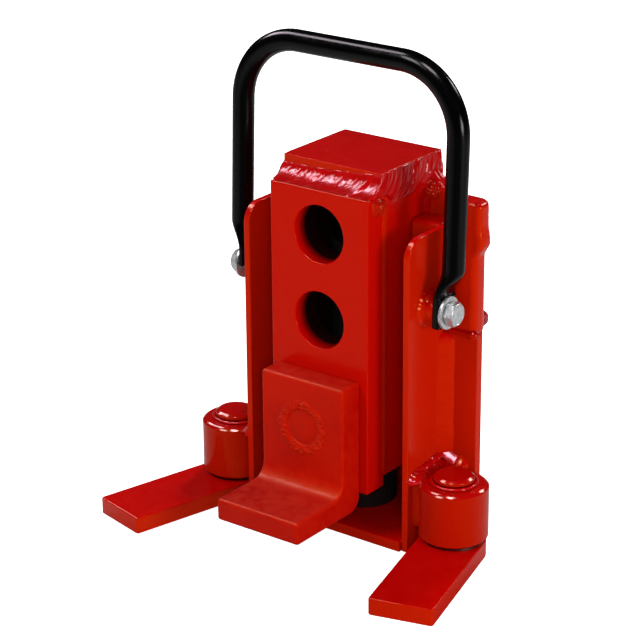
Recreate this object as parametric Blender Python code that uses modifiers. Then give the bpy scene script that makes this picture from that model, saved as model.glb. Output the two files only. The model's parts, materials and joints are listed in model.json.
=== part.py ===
"""Toe jack: a hydraulic jack with a removable toe, swivel feet and a carry handle.

Metres, +Z up, +X to the right of someone facing the front, +Y to the back.
The origin is on the ground under the axis of the lifting ram.
Each piece is one named object, placed by its own location and rotation.
"""
import math

import bmesh
import bpy
from mathutils import Matrix

# Sides of a round piece, large and small
ROUND = 28
FINE = 20

# Clearances
GAP = 0.0003
EDGE = 0.0008

# Hydraulic cylinder and the square tube that is lifted with it
CYL_D = 0.058
CYL_BORE_D = 0.042
RAM_D = 0.034
PISTON_L = 0.020
CYL_FLOOR = 0.012
GLAND_H = 0.016
GLAND_DROP = 0.040
WIPER_H = 0.004
TUBE_WALL = 0.006
TUBE_SPACE_X = 0.0147
TUBE_SPACE_Y = 0.0055
TUBE_RAISE = 0.0085

# Front plate with its row of holes, counted up from the lowest one
HOLE_D = 0.0502
HOLE_CHAMFER = 0.0012
LOW_HOLE_Z = 0.1062
LOW_PITCH = 0.0883
HOLE_PITCH = 0.0757
HOLE_TO_TOP = 0.0379
HOLE_TO_BOTTOM = 0.0593
BLOCK_ABOVE = 0.0301
PLATE_T = 0.0237
PLATE_OVER = 0.0003

# Cap welded on the top
CAP_T = 0.0182
CAP_D = 0.0867
CAP_BACK = 0.0001
WELD_UP = 0.0150
WELD_REACH = 0.0178
BEAD_REACH = 0.0045
BEAD_DOWN = 0.0085

# Toe with its hook pin
TOE_W = 0.0850
TOE_UP_T = 0.0248
TOE_LIP_L = 0.0630
TOE_LIP_T = 0.0198
TOE_TO_PIN = 0.0730
TOE_RISE = 0.0435
TOE_HEEL_R = 0.0130
TOE_FILLET_R = 0.0140
PIN_PLAY = 0.0012
PIN_REACH = 0.0300
PLUG_D = 0.0300
PLUG_SINK = 0.0015

# Frame: base plate, side plates, back plate
BASE_T = 0.0095
SIDE_SPACE = 0.0298
SIDE_T = 0.0060
SIDE_FRONT = 0.0565
SIDE_CORNER_R = 0.0170
BASE_AHEAD = 0.0030
BACK_CLEAR = 0.0040
BACK_T = 0.0060
BACK_H = 0.1900

# Guides between the tube and the side plates
RAIL_D = 0.0240
RAIL_Y = 0.0075
RAIL_CLEAR = 0.0015
KEY_D = 0.0090
KEY_L = 0.0900
KEY_PLAY = 0.0005
KEY_SHORT = 0.0100
GUIDE_SHORT = 0.0030

# Wings, hubs and swivel feet
WING_T = 0.0080
WING_W = 0.0325
WING_TOP = 0.1880
HUB_R = 0.0295
HUB_WEB = 0.0018
HUB_H = 0.0500
HUB_EDGE = 0.0022
PIN_D = 0.0200
PIN_RUN = 0.0004
PIN_HEAD_D = 0.0350
PIN_HEAD_H = 0.0055
PIN_HEAD_R = 0.0030
PIN_SINK = 0.0010
COLLAR_D = 0.0420
COLLAR_H = 0.0020
SPACER_H = 0.0010
FOOT_W = 0.0559
FOOT_L = 0.1280
FOOT_T = 0.0153
FOOT_CORNER_R = 0.0030
FOOT_SPLAY = 14.5

# Upright bar on the right wing
POST_IN = 0.0020
POST_W = 0.0275
POST_T = 0.0210
POST_H = 0.1140
POST_CORNER_R = 0.0100

# Carry handle and its bolts
BOLT_DROP = 0.0638
BOLT_Y = -0.0293
BOSS_D = 0.0245
BOSS_L = 0.0122
BOSS_WELD_R = 0.0045
BOLT_D = 0.0140
BOLT_RUN = 0.0003
BOLT_HEAD_AF = 0.0215
BOLT_HEAD_H = 0.0080
WASHER_D = 0.0280
WASHER_H = 0.0025
TUBE_D = 0.0190
EYE_T = 0.0062
EYE_W = 0.0260
EYE_FLAT = 0.0140
JOGGLE_X = 0.0081
JOGGLE_L = 0.0240
HANDLE_TOP = 0.2031
HANDLE_R = 0.0568
HANDLE_LEAN = 2.3

# Oil tank, pump and lever at the back
TANK_W = 0.1360
TANK_TAIL_W = 0.0960
TANK_SHOULDER = 0.0180
TANK_D = 0.0420
TANK_H = 0.1420
PUMP_D = 0.0280
PUMP_H = 0.0220
PUMP_NUT_AF = 0.0260
PUMP_NUT_H = 0.0120
PLUNGER_D = 0.0140
PLUNGER_WELL = 0.0300
HEAD_T = 0.0100
FORK_T = 0.0050
FORK_PLAY = 0.0006
FULCRUM_D = 0.0100
FULCRUM_RISE = 0.0620
FULCRUM_IN = 0.0120
ARM_FREE = 0.0008
ARM_ANGLE = 37.0
LINK_PIN_D = 0.0070
LINK_PLAY = 0.0014
EAR_T = 0.0060
SOCKET_D = 0.0300
SOCKET_BORE_D = 0.0240
SOCKET_L = 0.0600
SOCKET_FLOOR = 0.0080
VALVE_HEAD_D = 0.0180
VALVE_HEAD_L = 0.0120
VALVE_STEM_D = 0.0100
VALVE_STEM_L = 0.0100
VALVE_Z = 0.0500
VALVE_X = 0.0260
VALVE_BAR_D = 0.0050
VALVE_BAR_L = 0.0440
FILLER_D = 0.0330
FILLER_H = 0.0180
FILLER_NECK_D = 0.0140
FILLER_NECK_H = 0.0020
FILLER_EDGE = 0.0080
FILLER_FREE = 0.0005

# Derived places
CYL_R = CYL_D / 2
TUBE_W = CYL_D + 2 * (TUBE_SPACE_X + TUBE_WALL)
TUBE_DEPTH = CYL_D + 2 * (TUBE_SPACE_Y + TUBE_WALL)
TUBE_FRONT = -TUBE_DEPTH / 2
TUBE_BACK = TUBE_DEPTH / 2
PLATE_W = TUBE_W + 2 * PLATE_OVER
PLATE_BACK = TUBE_FRONT - GAP
PLATE_FRONT = PLATE_BACK - PLATE_T
HOLES_Z = (LOW_HOLE_Z, LOW_HOLE_Z + LOW_PITCH, LOW_HOLE_Z + LOW_PITCH + HOLE_PITCH)
BLOCK_TOP = HOLES_Z[2] + HOLE_TO_TOP
SIDE_H = BLOCK_TOP - BLOCK_ABOVE
PLATE_BOTTOM = LOW_HOLE_Z - HOLE_TO_BOTTOM
TUBE_BOTTOM = PLATE_BOTTOM + TUBE_RAISE
CAP_BOTTOM = BLOCK_TOP + GAP
CAP_TOP = CAP_BOTTOM + CAP_T
CAP_REAR = TUBE_BACK + CAP_BACK
CAP_FRONT = CAP_REAR - CAP_D
CAP_W = TUBE_W - 0.0004

SIDE_IN = TUBE_W / 2 + SIDE_SPACE
SIDE_OUT = SIDE_IN + SIDE_T
BACK_FRONT = max(TUBE_BACK, CAP_REAR + BEAD_REACH) + BACK_CLEAR
SIDE_BACK = BACK_FRONT + BACK_T
TANK_FRONT = SIDE_BACK + GAP
TANK_BACK = TANK_FRONT + TANK_D
TANK_TOP = BASE_T + GAP + TANK_H

WING_FRONT = -WING_T / 2
WING_EDGE = SIDE_OUT + GAP + WING_W
HUB_X = SIDE_OUT + GAP + HUB_WEB + HUB_R
HUB_Y = WING_FRONT - GAP - HUB_R
HUB_BOTTOM = FOOT_T + GAP + SPACER_H + GAP
HUB_TOP = HUB_BOTTOM + HUB_H
PIN_BORE_R = PIN_D / 2 + PIN_RUN

BOLT_Z = SIDE_H - BOLT_DROP
BOSS_IN = SIDE_OUT + GAP
BOSS_OUT = BOSS_IN + BOSS_L
EYE_X = BOSS_OUT + GAP + EYE_T / 2
WASHER_IN = EYE_X + EYE_T / 2 + GAP
HEAD_IN = WASHER_IN + WASHER_H + GAP

FULCRUM_Y = TANK_FRONT + FULCRUM_IN
FULCRUM_Z = TANK_TOP + FULCRUM_RISE
ARM_Y = PLUNGER_D / 2 + FULCRUM_D / 2 + ARM_FREE
ARM_L = ARM_Y / math.cos(math.radians(ARM_ANGLE))
PLUNGER_Y = FULCRUM_Y + ARM_Y
LINK_Z = FULCRUM_Z + ARM_L * math.sin(math.radians(ARM_ANGLE))
PUMP_NUT_R = PUMP_NUT_AF / 2 / math.cos(math.radians(30.0))
EAR_IN = max(PUMP_D / 2, PUMP_NUT_R, HEAD_T / 2 + FORK_T + FORK_PLAY) + 2 * FORK_PLAY
EAR_OUT = EAR_IN + EAR_T
FORK_OUT = EAR_IN - FORK_PLAY
FORK_IN = FORK_OUT - FORK_T

PARTS = None
GUIDES = None


def clear_scene():
    """Remove every object and make the two collections."""
    global PARTS, GUIDES
    for item in list(bpy.data.objects):
        bpy.data.objects.remove(item, do_unlink=True)
    PARTS = bpy.data.collections.new("toe_jack")
    GUIDES = bpy.data.collections.new("guides")
    bpy.context.scene.collection.children.link(PARTS)
    bpy.context.scene.collection.children.link(GUIDES)
    GUIDES.hide_render = True


def paint(name, rgb, roughness, metallic):
    """One Principled material; rgb is linear."""
    made = bpy.data.materials.new(name)
    made.use_nodes = True
    shader = made.node_tree.nodes["Principled BSDF"]
    shader.inputs["Base Color"].default_value = (*rgb, 1.0)
    shader.inputs["Roughness"].default_value = roughness
    shader.inputs["Metallic"].default_value = metallic
    made.diffuse_color = (*rgb, 1.0)
    return made


def red(name):
    """Gloss red enamel."""
    return paint(name, (0.44, 0.004, 0.002), 0.28, 0.0)


def black(name):
    """Gloss black enamel."""
    return paint(name, (0.010, 0.010, 0.011), 0.25, 0.0)


def zinc(name):
    """Bright zinc plate."""
    return paint(name, (0.60, 0.60, 0.61), 0.32, 1.0)


def steel(name):
    """Dark machined steel."""
    return paint(name, (0.22, 0.22, 0.23), 0.38, 1.0)


def seal(name):
    """Black rubber."""
    return paint(name, (0.012, 0.012, 0.012), 0.70, 0.0)


def new_object(name, mesh, guide=False):
    """Link a mesh as a part, or as a hidden cutter."""
    made = bpy.data.objects.new(name, mesh)
    if guide:
        GUIDES.objects.link(made)
        made.hide_render = True
        made.display_type = "WIRE"
    else:
        PARTS.objects.link(made)
    return made


def dress(item, colour, angle=35.0):
    """Give a part its own material and smooth shading up to an angle."""
    item.data.materials.clear()
    item.data.materials.append(colour("paint_" + item.name))
    item.data.shade_smooth()
    item.data.set_sharp_from_angle(angle=math.radians(angle))
    return item


def bevel(item, width, segments=2):
    """Round the sharp edges of a part."""
    step = item.modifiers.new("edge", "BEVEL")
    step.width = width
    step.segments = segments
    step.limit_method = "ANGLE"
    step.angle_limit = math.radians(40.0)
    step.use_clamp_overlap = True
    return item


def boolean(item, other, operation):
    """Cut, or join, with another object that stays as a hidden guide."""
    step = item.modifiers.new(operation.lower(), "BOOLEAN")
    step.operation = operation
    step.solver = "EXACT"
    step.object = other
    return item


def block(name, x0, x1, y0, y1, z0, z1, guide=False):
    """Box between six planes, with its origin at its centre."""
    shape = bmesh.new()
    bmesh.ops.create_cube(shape, size=1.0)
    bmesh.ops.scale(shape, vec=(x1 - x0, y1 - y0, z1 - z0), verts=shape.verts)
    mesh = bpy.data.meshes.new(name)
    shape.to_mesh(mesh)
    shape.free()
    made = new_object(name, mesh, guide)
    made.location = ((x0 + x1) / 2, (y0 + y1) / 2, (z0 + z1) / 2)
    return made


def rod(name, radius, length, segments=ROUND, guide=False, top=None):
    """Round bar on local +Z, from 0 to length; top is the upper radius."""
    shape = bmesh.new()
    upper = radius if top is None else top
    bmesh.ops.create_cone(shape, cap_ends=True, segments=segments, radius1=radius, radius2=upper, depth=length)
    bmesh.ops.translate(shape, vec=(0.0, 0.0, length / 2), verts=shape.verts)
    mesh = bpy.data.meshes.new(name)
    shape.to_mesh(mesh)
    shape.free()
    return new_object(name, mesh, guide)


def turned(name, profile, steps=ROUND, guide=False):
    """Turned piece: a profile of (radius, z) pairs spun round local Z.

    The profile runs down the outer side from the top, and a closed ring
    of pairs gives a hollow piece.
    """
    closed = profile[0] == profile[-1]
    pairs = profile[:-1] if closed else profile
    points = [(radius, 0.0, z) for radius, z in pairs]
    count = len(points)
    edges = [(i, i + 1) for i in range(count - 1)]
    if closed:
        edges.append((count - 1, 0))
    mesh = bpy.data.meshes.new(name)
    mesh.from_pydata(points, edges, [])
    made = new_object(name, mesh, guide)
    step = made.modifiers.new("turn", "SCREW")
    step.axis = "Z"
    step.angle = math.tau
    step.steps = steps
    step.render_steps = steps
    step.use_merge_vertices = True
    step.merge_threshold = 0.00002
    step.use_smooth_shade = True
    baked(made)
    return made


def baked(item):
    """Turn the modifiers of a part into plain mesh."""
    bpy.context.view_layer.update()
    graph = bpy.context.evaluated_depsgraph_get()
    mesh = bpy.data.meshes.new_from_object(item.evaluated_get(graph))
    mesh.name = item.name
    old = item.data
    item.modifiers.clear()
    item.data = mesh
    if old.users == 0:
        bpy.data.meshes.remove(old)
    return item


def arc(cx, cy, radius, start, end, steps):
    """Points of an arc in degrees, both ends included."""
    points = []
    for i in range(steps + 1):
        angle = math.radians(start + (end - start) * i / steps)
        points.append((cx + radius * math.cos(angle), cy + radius * math.sin(angle)))
    return points


def ring_loop(radius, count):
    """Points of a full circle about the local origin."""
    return arc(0.0, 0.0, radius, 0.0, 360.0 * (count - 1) / count, count - 1)


def sheet(name, outline, thickness, holes=(), guide=False):
    """Flat plate: a 2D curve filled and extruded along local Z about z = 0."""
    curve = bpy.data.curves.new(name, "CURVE")
    curve.dimensions = "2D"
    curve.fill_mode = "BOTH"
    curve.extrude = thickness / 2
    for loop in (outline, *holes):
        spline = curve.splines.new("POLY")
        spline.points.add(len(loop) - 1)
        for point, (x, y) in zip(spline.points, loop):
            point.co = (x, y, 0.0, 1.0)
        spline.use_cyclic_u = True
    source = bpy.data.objects.new(name + "_curve", curve)
    GUIDES.objects.link(source)
    bpy.context.view_layer.update()
    graph = bpy.context.evaluated_depsgraph_get()
    mesh = bpy.data.meshes.new_from_object(source.evaluated_get(graph))
    bpy.data.objects.remove(source, do_unlink=True)
    bpy.data.curves.remove(curve)
    shape = bmesh.new()
    shape.from_mesh(mesh)
    bmesh.ops.remove_doubles(shape, verts=shape.verts, dist=0.00001)
    bmesh.ops.dissolve_limit(shape, angle_limit=0.001, verts=shape.verts, edges=shape.edges)
    bmesh.ops.recalc_face_normals(shape, faces=shape.faces)
    shape.to_mesh(mesh)
    shape.free()
    mesh.name = name
    return new_object(name, mesh, guide)


def stand_yz(item, x):
    """Turn a plate drawn in local XY so that it lies in world Y and Z."""
    item.rotation_euler = Matrix(((0, 0, 1), (1, 0, 0), (0, 1, 0))).to_euler()
    item.location.x = x
    return item


def loft(name, rings, closed=False, guide=False):
    """Body through equal rings of points, capped unless it closes on itself."""
    count = len(rings[0])
    points = [point for ring in rings for point in ring]
    faces = []
    spans = len(rings) if closed else len(rings) - 1
    for i in range(spans):
        a = i * count
        b = ((i + 1) % len(rings)) * count
        for j in range(count):
            k = (j + 1) % count
            faces.append((a + j, a + k, b + k, b + j))
    if not closed:
        faces.append(tuple(reversed(range(count))))
        last = (len(rings) - 1) * count
        faces.append(tuple(range(last, last + count)))
    mesh = bpy.data.meshes.new(name)
    mesh.from_pydata(points, [], faces)
    shape = bmesh.new()
    shape.from_mesh(mesh)
    bmesh.ops.recalc_face_normals(shape, faces=shape.faces)
    shape.to_mesh(mesh)
    shape.free()
    return new_object(name, mesh, guide)


def make_base():
    """Base plate between the side plates, with a tail under the tank."""
    half = SIDE_IN - GAP
    front = -SIDE_FRONT - BASE_AHEAD
    tail = tank_outline()
    outline = [(-half, front), (half, front), (half, SIDE_BACK), (TANK_W / 2, SIDE_BACK)]
    outline += tail[2:]
    outline += [(-TANK_W / 2, SIDE_BACK), (-half, SIDE_BACK)]
    plate = sheet("base_plate", outline, BASE_T)
    plate.location.z = BASE_T / 2
    dress(bevel(plate, EDGE), red)


def make_sides():
    """Two side plates with rounded top corners."""
    r = SIDE_CORNER_R
    outline = [(-SIDE_FRONT, 0.0), (SIDE_BACK, 0.0)]
    outline += arc(SIDE_BACK - r, SIDE_H - r, r, 0.0, 90.0, 8)
    outline += arc(-SIDE_FRONT + r, SIDE_H - r, r, 90.0, 180.0, 8)
    for side, sign in (("left", -1.0), ("right", 1.0)):
        plate = sheet("side_plate_" + side, outline, SIDE_T)
        stand_yz(plate, sign * (SIDE_IN + SIDE_T / 2))
        dress(bevel(plate, EDGE), red)


def make_back():
    """Back plate between the side plates."""
    half = SIDE_IN - GAP
    low = BASE_T + GAP
    plate = block("back_plate", -half, half, BACK_FRONT, SIDE_BACK, low, low + BACK_H)
    dress(bevel(plate, EDGE), red)


def make_rails():
    """Guide rails on the side plates; keys and guide bars on the tube beside them."""
    near = TUBE_W / 2 + RAIL_CLEAR
    key_out = SIDE_IN - KEY_SHORT
    bar_out = SIDE_IN - GUIDE_SHORT
    bar_top = BLOCK_TOP - BEAD_DOWN
    y0 = RAIL_Y - RAIL_D / 2
    y1 = RAIL_Y + RAIL_D / 2
    key_z = TUBE_BOTTOM + EDGE
    for side, sign in (("left", -1.0), ("right", 1.0)):
        x0, x1 = sorted((sign * near, sign * (SIDE_IN - GAP)))
        rail = block("guide_rail_" + side, x0, x1, y0, y1, BASE_T + GAP, SIDE_H)
        dress(bevel(rail, EDGE), red)
        k0, k1 = sorted((sign * (TUBE_W / 2 + GAP), sign * key_out))
        front = block("key_front_" + side, k0, k1, y0 - KEY_PLAY - KEY_D, y0 - KEY_PLAY, key_z, key_z + KEY_L)
        dress(bevel(front, EDGE, 1), red)
        k0, k1 = sorted((sign * (TUBE_W / 2 + GAP), sign * bar_out))
        bar = block("guide_bar_" + side, k0, k1, y1 + KEY_PLAY, y1 + KEY_PLAY + KEY_D, key_z, bar_top)
        dress(bevel(bar, EDGE), red)


def make_wings():
    """Wing plates across the frame, one on each side."""
    for side, sign in (("left", -1.0), ("right", 1.0)):
        x0, x1 = sorted((sign * (SIDE_OUT + GAP), sign * WING_EDGE))
        wing = block("wing_" + side, x0, x1, -WING_T / 2, WING_T / 2, HUB_BOTTOM, WING_TOP)
        dress(bevel(wing, EDGE), red)


def make_post():
    """Upright bar on top of the right wing, rounded at its outer corners."""
    x0 = SIDE_OUT + POST_IN
    x1 = x0 + POST_W
    y0 = WING_FRONT
    y1 = WING_FRONT + POST_T
    r = POST_CORNER_R
    small = POST_CORNER_R * 0.3
    outline = arc(x1 - small, y0 + small, small, -90.0, 0.0, 4)
    outline += arc(x1 - r, y1 - r, r, 0.0, 90.0, 8)
    outline += [(x0, y1), (x0, y0)]
    z0 = WING_TOP + GAP
    post = sheet("rear_post", outline, POST_H)
    post.location.z = z0 + POST_H / 2
    dress(bevel(post, EDGE * 2, 3), red)


def make_hubs():
    """Round hubs with a web that fills the corner of side plate and wing."""
    left = SIDE_OUT + GAP - HUB_X
    top = WING_FRONT - GAP - HUB_Y
    outline = arc(0.0, 0.0, HUB_R, 90.0, -180.0, 30)
    outline += [(left, 0.0), (left, top)]
    bore = ring_loop(PIN_BORE_R, ROUND)
    for side, sign in (("left", -1.0), ("right", 1.0)):
        loop = [(sign * x, y) for x, y in outline]
        hub = sheet("hub_" + side, loop, HUB_H, holes=(bore,))
        hub.location = (sign * HUB_X, HUB_Y, HUB_BOTTOM + HUB_H / 2)
        dress(bevel(hub, HUB_EDGE, 2), red)


def make_feet():
    """Swivel feet: flat bars with a round heel about the pin."""
    half = FOOT_W / 2
    c = FOOT_CORNER_R
    outline = arc(0.0, 0.0, half, 0.0, 180.0, 16)
    outline += arc(-half + c, -FOOT_L + c, c, 180.0, 270.0, 4)
    outline += arc(half - c, -FOOT_L + c, c, 270.0, 360.0, 4)
    bore = ring_loop(PIN_D / 2 + GAP, FINE)
    for side, sign in (("left", -1.0), ("right", 1.0)):
        foot = sheet("foot_" + side, outline, FOOT_T, holes=(bore,))
        foot.location = (sign * HUB_X, HUB_Y, FOOT_T / 2)
        foot.rotation_euler = (0.0, 0.0, math.radians(sign * FOOT_SPLAY))
        dress(bevel(foot, EDGE * 1.5, 1), red)
        make_foot_pin(side, sign)


def make_foot_pin(side, sign):
    """Pin with its collar above the hub and its spacer under it."""
    shank = PIN_D / 2
    head = PIN_HEAD_D / 2
    collar_top = HUB_TOP + GAP + COLLAR_H
    head_base = collar_top + GAP
    top = head_base + PIN_HEAD_H
    corner = [(x, y) for x, y in arc(head - PIN_HEAD_R, top - PIN_HEAD_R, PIN_HEAD_R, 90.0, 0.0, 5)]
    profile = [(0.0, top), *corner, (head, head_base), (shank, head_base)]
    profile += [(shank, PIN_SINK + 0.001), (shank - 0.001, PIN_SINK), (0.0, PIN_SINK)]
    pin = turned("foot_pin_" + side, profile, FINE)
    pin.location = (sign * HUB_X, HUB_Y, 0.0)
    dress(pin, red, 30.0)
    inner = shank + GAP
    ring = ring_profile(inner, COLLAR_D / 2, HUB_TOP + GAP, collar_top, 0.0005)
    collar = turned("foot_collar_" + side, ring, FINE)
    collar.location = (sign * HUB_X, HUB_Y, 0.0)
    dress(collar, red, 30.0)
    low = FOOT_T + GAP
    ring = ring_profile(inner, HUB_R - HUB_EDGE - 0.0006, low, low + SPACER_H, 0.0002)
    spacer = turned("foot_spacer_" + side, ring, FINE)
    spacer.location = (sign * HUB_X, HUB_Y, 0.0)
    dress(spacer, steel, 30.0)


def ring_profile(inner, outer, low, high, edge):
    """Closed profile of a washer with small outer chamfers."""
    points = [(inner, high), (outer - edge, high), (outer, high - edge)]
    points += [(outer, low + edge), (outer - edge, low), (inner, low), (inner, high)]
    return points


def make_cylinder():
    """Hydraulic cylinder: body, gland nut, wiper and ram."""
    low = BASE_T + GAP
    body_top = BLOCK_TOP - GLAND_DROP - GLAND_H - GAP
    bore = CYL_BORE_D / 2
    profile = [(bore, body_top), (CYL_R - 0.001, body_top), (CYL_R, body_top - 0.001)]
    profile += [(CYL_R, low + 0.001), (CYL_R - 0.001, low), (0.0, low)]
    inside = [(0.0, low + CYL_FLOOR), (bore, low + CYL_FLOOR), (bore, body_top)]
    body = turned("cylinder_body", profile + inside)
    dress(body, black, 30.0)
    run = RAM_D / 2 + PIN_RUN
    nut_low = body_top + GAP
    nut_top = nut_low + GLAND_H
    nut = turned("gland_nut", ring_profile(run, CYL_R - 0.002, nut_low, nut_top, 0.001), FINE)
    dress(nut, steel, 30.0)
    wiper_low = nut_top + GAP
    wiper = turned("rod_wiper", ring_profile(run, (run + CYL_R) / 2, wiper_low, wiper_low + WIPER_H, 0.001), FINE)
    dress(wiper, seal, 30.0)
    rod_r = RAM_D / 2
    piston_r = bore - GAP
    foot = low + CYL_FLOOR + 0.002
    top = CAP_BOTTOM - GAP
    profile = [(0.0, top), (rod_r - 0.0015, top), (rod_r, top - 0.0015), (rod_r, foot + PISTON_L)]
    profile += [(piston_r, foot + PISTON_L), (piston_r, foot), (0.0, foot)]
    ram = turned("ram", profile, FINE)
    dress(ram, zinc, 30.0)


def make_lift_block():
    """Square tube, front plate with three holes, and the cap."""
    tube = block("lift_tube", -TUBE_W / 2, TUBE_W / 2, TUBE_FRONT, TUBE_BACK, TUBE_BOTTOM, BLOCK_TOP)
    half = TUBE_W / 2 - TUBE_WALL
    core = block("tube_core", -half, half, TUBE_FRONT + TUBE_WALL, TUBE_BACK - TUBE_WALL,
                 TUBE_BOTTOM - 0.01, BLOCK_TOP + 0.01, guide=True)
    bevel(tube, EDGE * 3, 3)
    boolean(tube, core, "DIFFERENCE")
    plate = block("front_plate", -PLATE_W / 2, PLATE_W / 2, PLATE_FRONT, PLATE_BACK, PLATE_BOTTOM, BLOCK_TOP)
    bevel(plate, EDGE * 1.5, 2)
    for number, z in enumerate(HOLES_Z):
        cutter = hole_cutter("hole_cutter_%d" % number, z)
        boolean(plate, cutter, "DIFFERENCE")
        boolean(tube, cutter, "DIFFERENCE")
    dress(tube, red, 30.0)
    dress(plate, red, 30.0)
    cap = block("cap_block", -CAP_W / 2, CAP_W / 2, CAP_FRONT, CAP_REAR, CAP_BOTTOM, CAP_TOP)
    dress(bevel(cap, EDGE * 2, 3), red)


def hole_cutter(name, z):
    """Cutter with a small chamfer at the plate's front face."""
    r = HOLE_D / 2
    reach = PLATE_T + TUBE_WALL + 0.003
    out = 0.004
    profile = [(0.0, out), (r + HOLE_CHAMFER + out, out), (r, -HOLE_CHAMFER), (r, -reach), (0.0, -reach)]
    cutter = turned(name, profile, guide=True)
    cutter.location = (0.0, PLATE_FRONT, z)
    cutter.rotation_euler = (math.radians(90.0), 0.0, 0.0)
    return cutter


def weld_section(front, low):
    """Ten (reach, height) pairs of the cap weld: front is 1 on the front side."""
    pairs = []
    for i in range(5):
        t = i / 4
        reach = WELD_REACH * (0.06 + 0.94 * t ** 1.9)
        height = WELD_UP * (1.0 - t) ** 1.6 + 0.0006
        pairs.append((reach, height))
    side = []
    for i in range(5):
        bulge = math.sin(math.radians(12.0 + 38.0 * i))
        side.append((0.0008 + BEAD_REACH * bulge, WELD_UP - (WELD_UP + low) * i / 4))
    return [tuple(f * front + s * (1.0 - front) for f, s in zip(a, b)) for a, b in zip(pairs, side)]


def make_cap_weld():
    """Weld all round under the cap, wide in front and a round bead elsewhere."""
    inner = max(CAP_W, PLATE_W, TUBE_W) / 2 + GAP
    back = max(CAP_REAR, TUBE_BACK) + GAP
    y_front = CAP_FRONT - GAP
    corner = 0.0015
    z0 = BLOCK_TOP + GAP
    path = []
    pitch = 0.0070
    corners = [(inner - corner, y_front + corner, -90.0), (inner - corner, back - corner, 0.0)]
    corners += [(-inner + corner, back - corner, 90.0), (-inner + corner, y_front + corner, 180.0)]
    for number, (cx, cy, start) in enumerate(corners):
        for i in range(4):
            angle = math.radians(start + 30.0 * i)
            path.append((cx + corner * math.cos(angle), cy + corner * math.sin(angle), angle))
        nx, ny, following = corners[(number + 1) % 4]
        angle = math.radians(start + 90.0)
        ax = cx + corner * math.cos(angle)
        ay = cy + corner * math.sin(angle)
        bx = nx + corner * math.cos(angle)
        by = ny + corner * math.sin(angle)
        steps = max(2, round(math.dist((ax, ay), (bx, by)) / pitch))
        for i in range(1, steps):
            t = i / steps
            path.append((ax + (bx - ax) * t, ay + (by - ay) * t, angle))
    rings = []
    for number, (x, y, angle) in enumerate(path):
        nx, ny = math.cos(angle), math.sin(angle)
        facing = max(0.0, -ny)
        front = facing ** 6
        behind = min(1.0, max(0.0, (y - PLATE_BACK) / 0.012))
        low = BEAD_DOWN * behind
        ripple = 1.0 + 0.05 * math.sin(number * 2.4) + 0.03 * math.sin(number * 1.1)
        ring = []
        for reach, height in weld_section(front, low):
            out = reach * ripple
            rise = max(height, -low)
            if behind == 0.0:
                rise = max(rise, 0.0)
            ring.append((x + nx * out, y + ny * out, z0 + rise))
        first, last = ring[0], ring[-1]
        ring.append((x, y, last[2]))
        ring.insert(0, (x, y, first[2]))
        rings.append(ring)
    weld = loft("cap_weld", rings, closed=True)
    dress(weld, red, 50.0)


def make_toe():
    """Toe: an upright with a lip, and a pin that hooks into the low hole."""
    pin_z = LOW_HOLE_Z - (PIN_PLAY - GAP)
    low = pin_z - TOE_TO_PIN
    top = pin_z + TOE_RISE
    back = PLATE_FRONT - GAP
    front = back - TOE_UP_T
    tip = front - TOE_LIP_L
    lip_top = low + TOE_LIP_T
    heel, fillet = TOE_HEEL_R, TOE_FILLET_R
    outline = arc(back - heel, low + heel, heel, -90.0, 0.0, 8)
    outline += [(back, top), (front, top)]
    outline += arc(front - fillet, lip_top + fillet, fillet, 0.0, -90.0, 8)
    outline += [(tip, lip_top), (tip, low)]
    toe = sheet("toe", outline, TOE_W)
    stand_yz(toe, 0.0)
    bevel(toe, EDGE * 1.5, 2)
    pin_r = HOLE_D / 2 - PIN_PLAY
    cutter = rod("toe_cutter", pin_r + GAP, TOE_UP_T + 0.02, ROUND, guide=True)
    cutter.location = (0.0, back + 0.01, pin_z)
    cutter.rotation_euler = (math.radians(90.0), 0.0, 0.0)
    boolean(toe, cutter, "DIFFERENCE")
    dress(toe, red, 30.0)
    plug = PLUG_D / 2
    face = TOE_UP_T
    profile = [(0.0, face - PLUG_SINK), (plug - 0.001, face - PLUG_SINK), (plug, face - PLUG_SINK - 0.0005)]
    profile += [(plug + 0.002, face - PLUG_SINK - 0.0005), (plug + 0.004, face + 0.0008), (pin_r - 0.002, face + 0.0010)]
    profile += [(pin_r, face - 0.001), (pin_r, -PIN_REACH + 0.003), (pin_r - 0.003, -PIN_REACH), (0.0, -PIN_REACH)]
    pin = turned("toe_hook_pin", profile, ROUND)
    pin.location = (0.0, back, pin_z)
    pin.rotation_euler = (math.radians(90.0), 0.0, 0.0)
    dress(pin, red, 30.0)


def make_handle_mounts():
    """Threaded bosses, bolts and washers that carry the handle."""
    run = BOLT_D / 2 + BOLT_RUN
    for side, sign in (("left", -1.0), ("right", 1.0)):
        turn = (0.0, math.radians(sign * 90.0), 0.0)
        foot = BOSS_D / 2 + BOSS_WELD_R
        profile = [(run, BOSS_L), (BOSS_D / 2 - 0.001, BOSS_L), (BOSS_D / 2, BOSS_L - 0.001)]
        profile += [(BOSS_D / 2, BOSS_WELD_R), (BOSS_D / 2 + BOSS_WELD_R * 0.35, BOSS_WELD_R * 0.35), (foot, 0.0)]
        profile += [(run, 0.0), (run, BOSS_L)]
        boss = turned("handle_boss_" + side, profile, FINE)
        boss.location = (sign * BOSS_IN, BOLT_Y, BOLT_Z)
        boss.rotation_euler = turn
        dress(boss, red, 30.0)
        washer = turned("handle_washer_" + side, ring_profile(run, WASHER_D / 2, 0.0, WASHER_H, 0.0004), FINE)
        washer.location = (sign * WASHER_IN, BOLT_Y, BOLT_Z)
        washer.rotation_euler = turn
        dress(washer, zinc, 30.0)
        make_handle_bolt(side, sign, turn)


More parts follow.
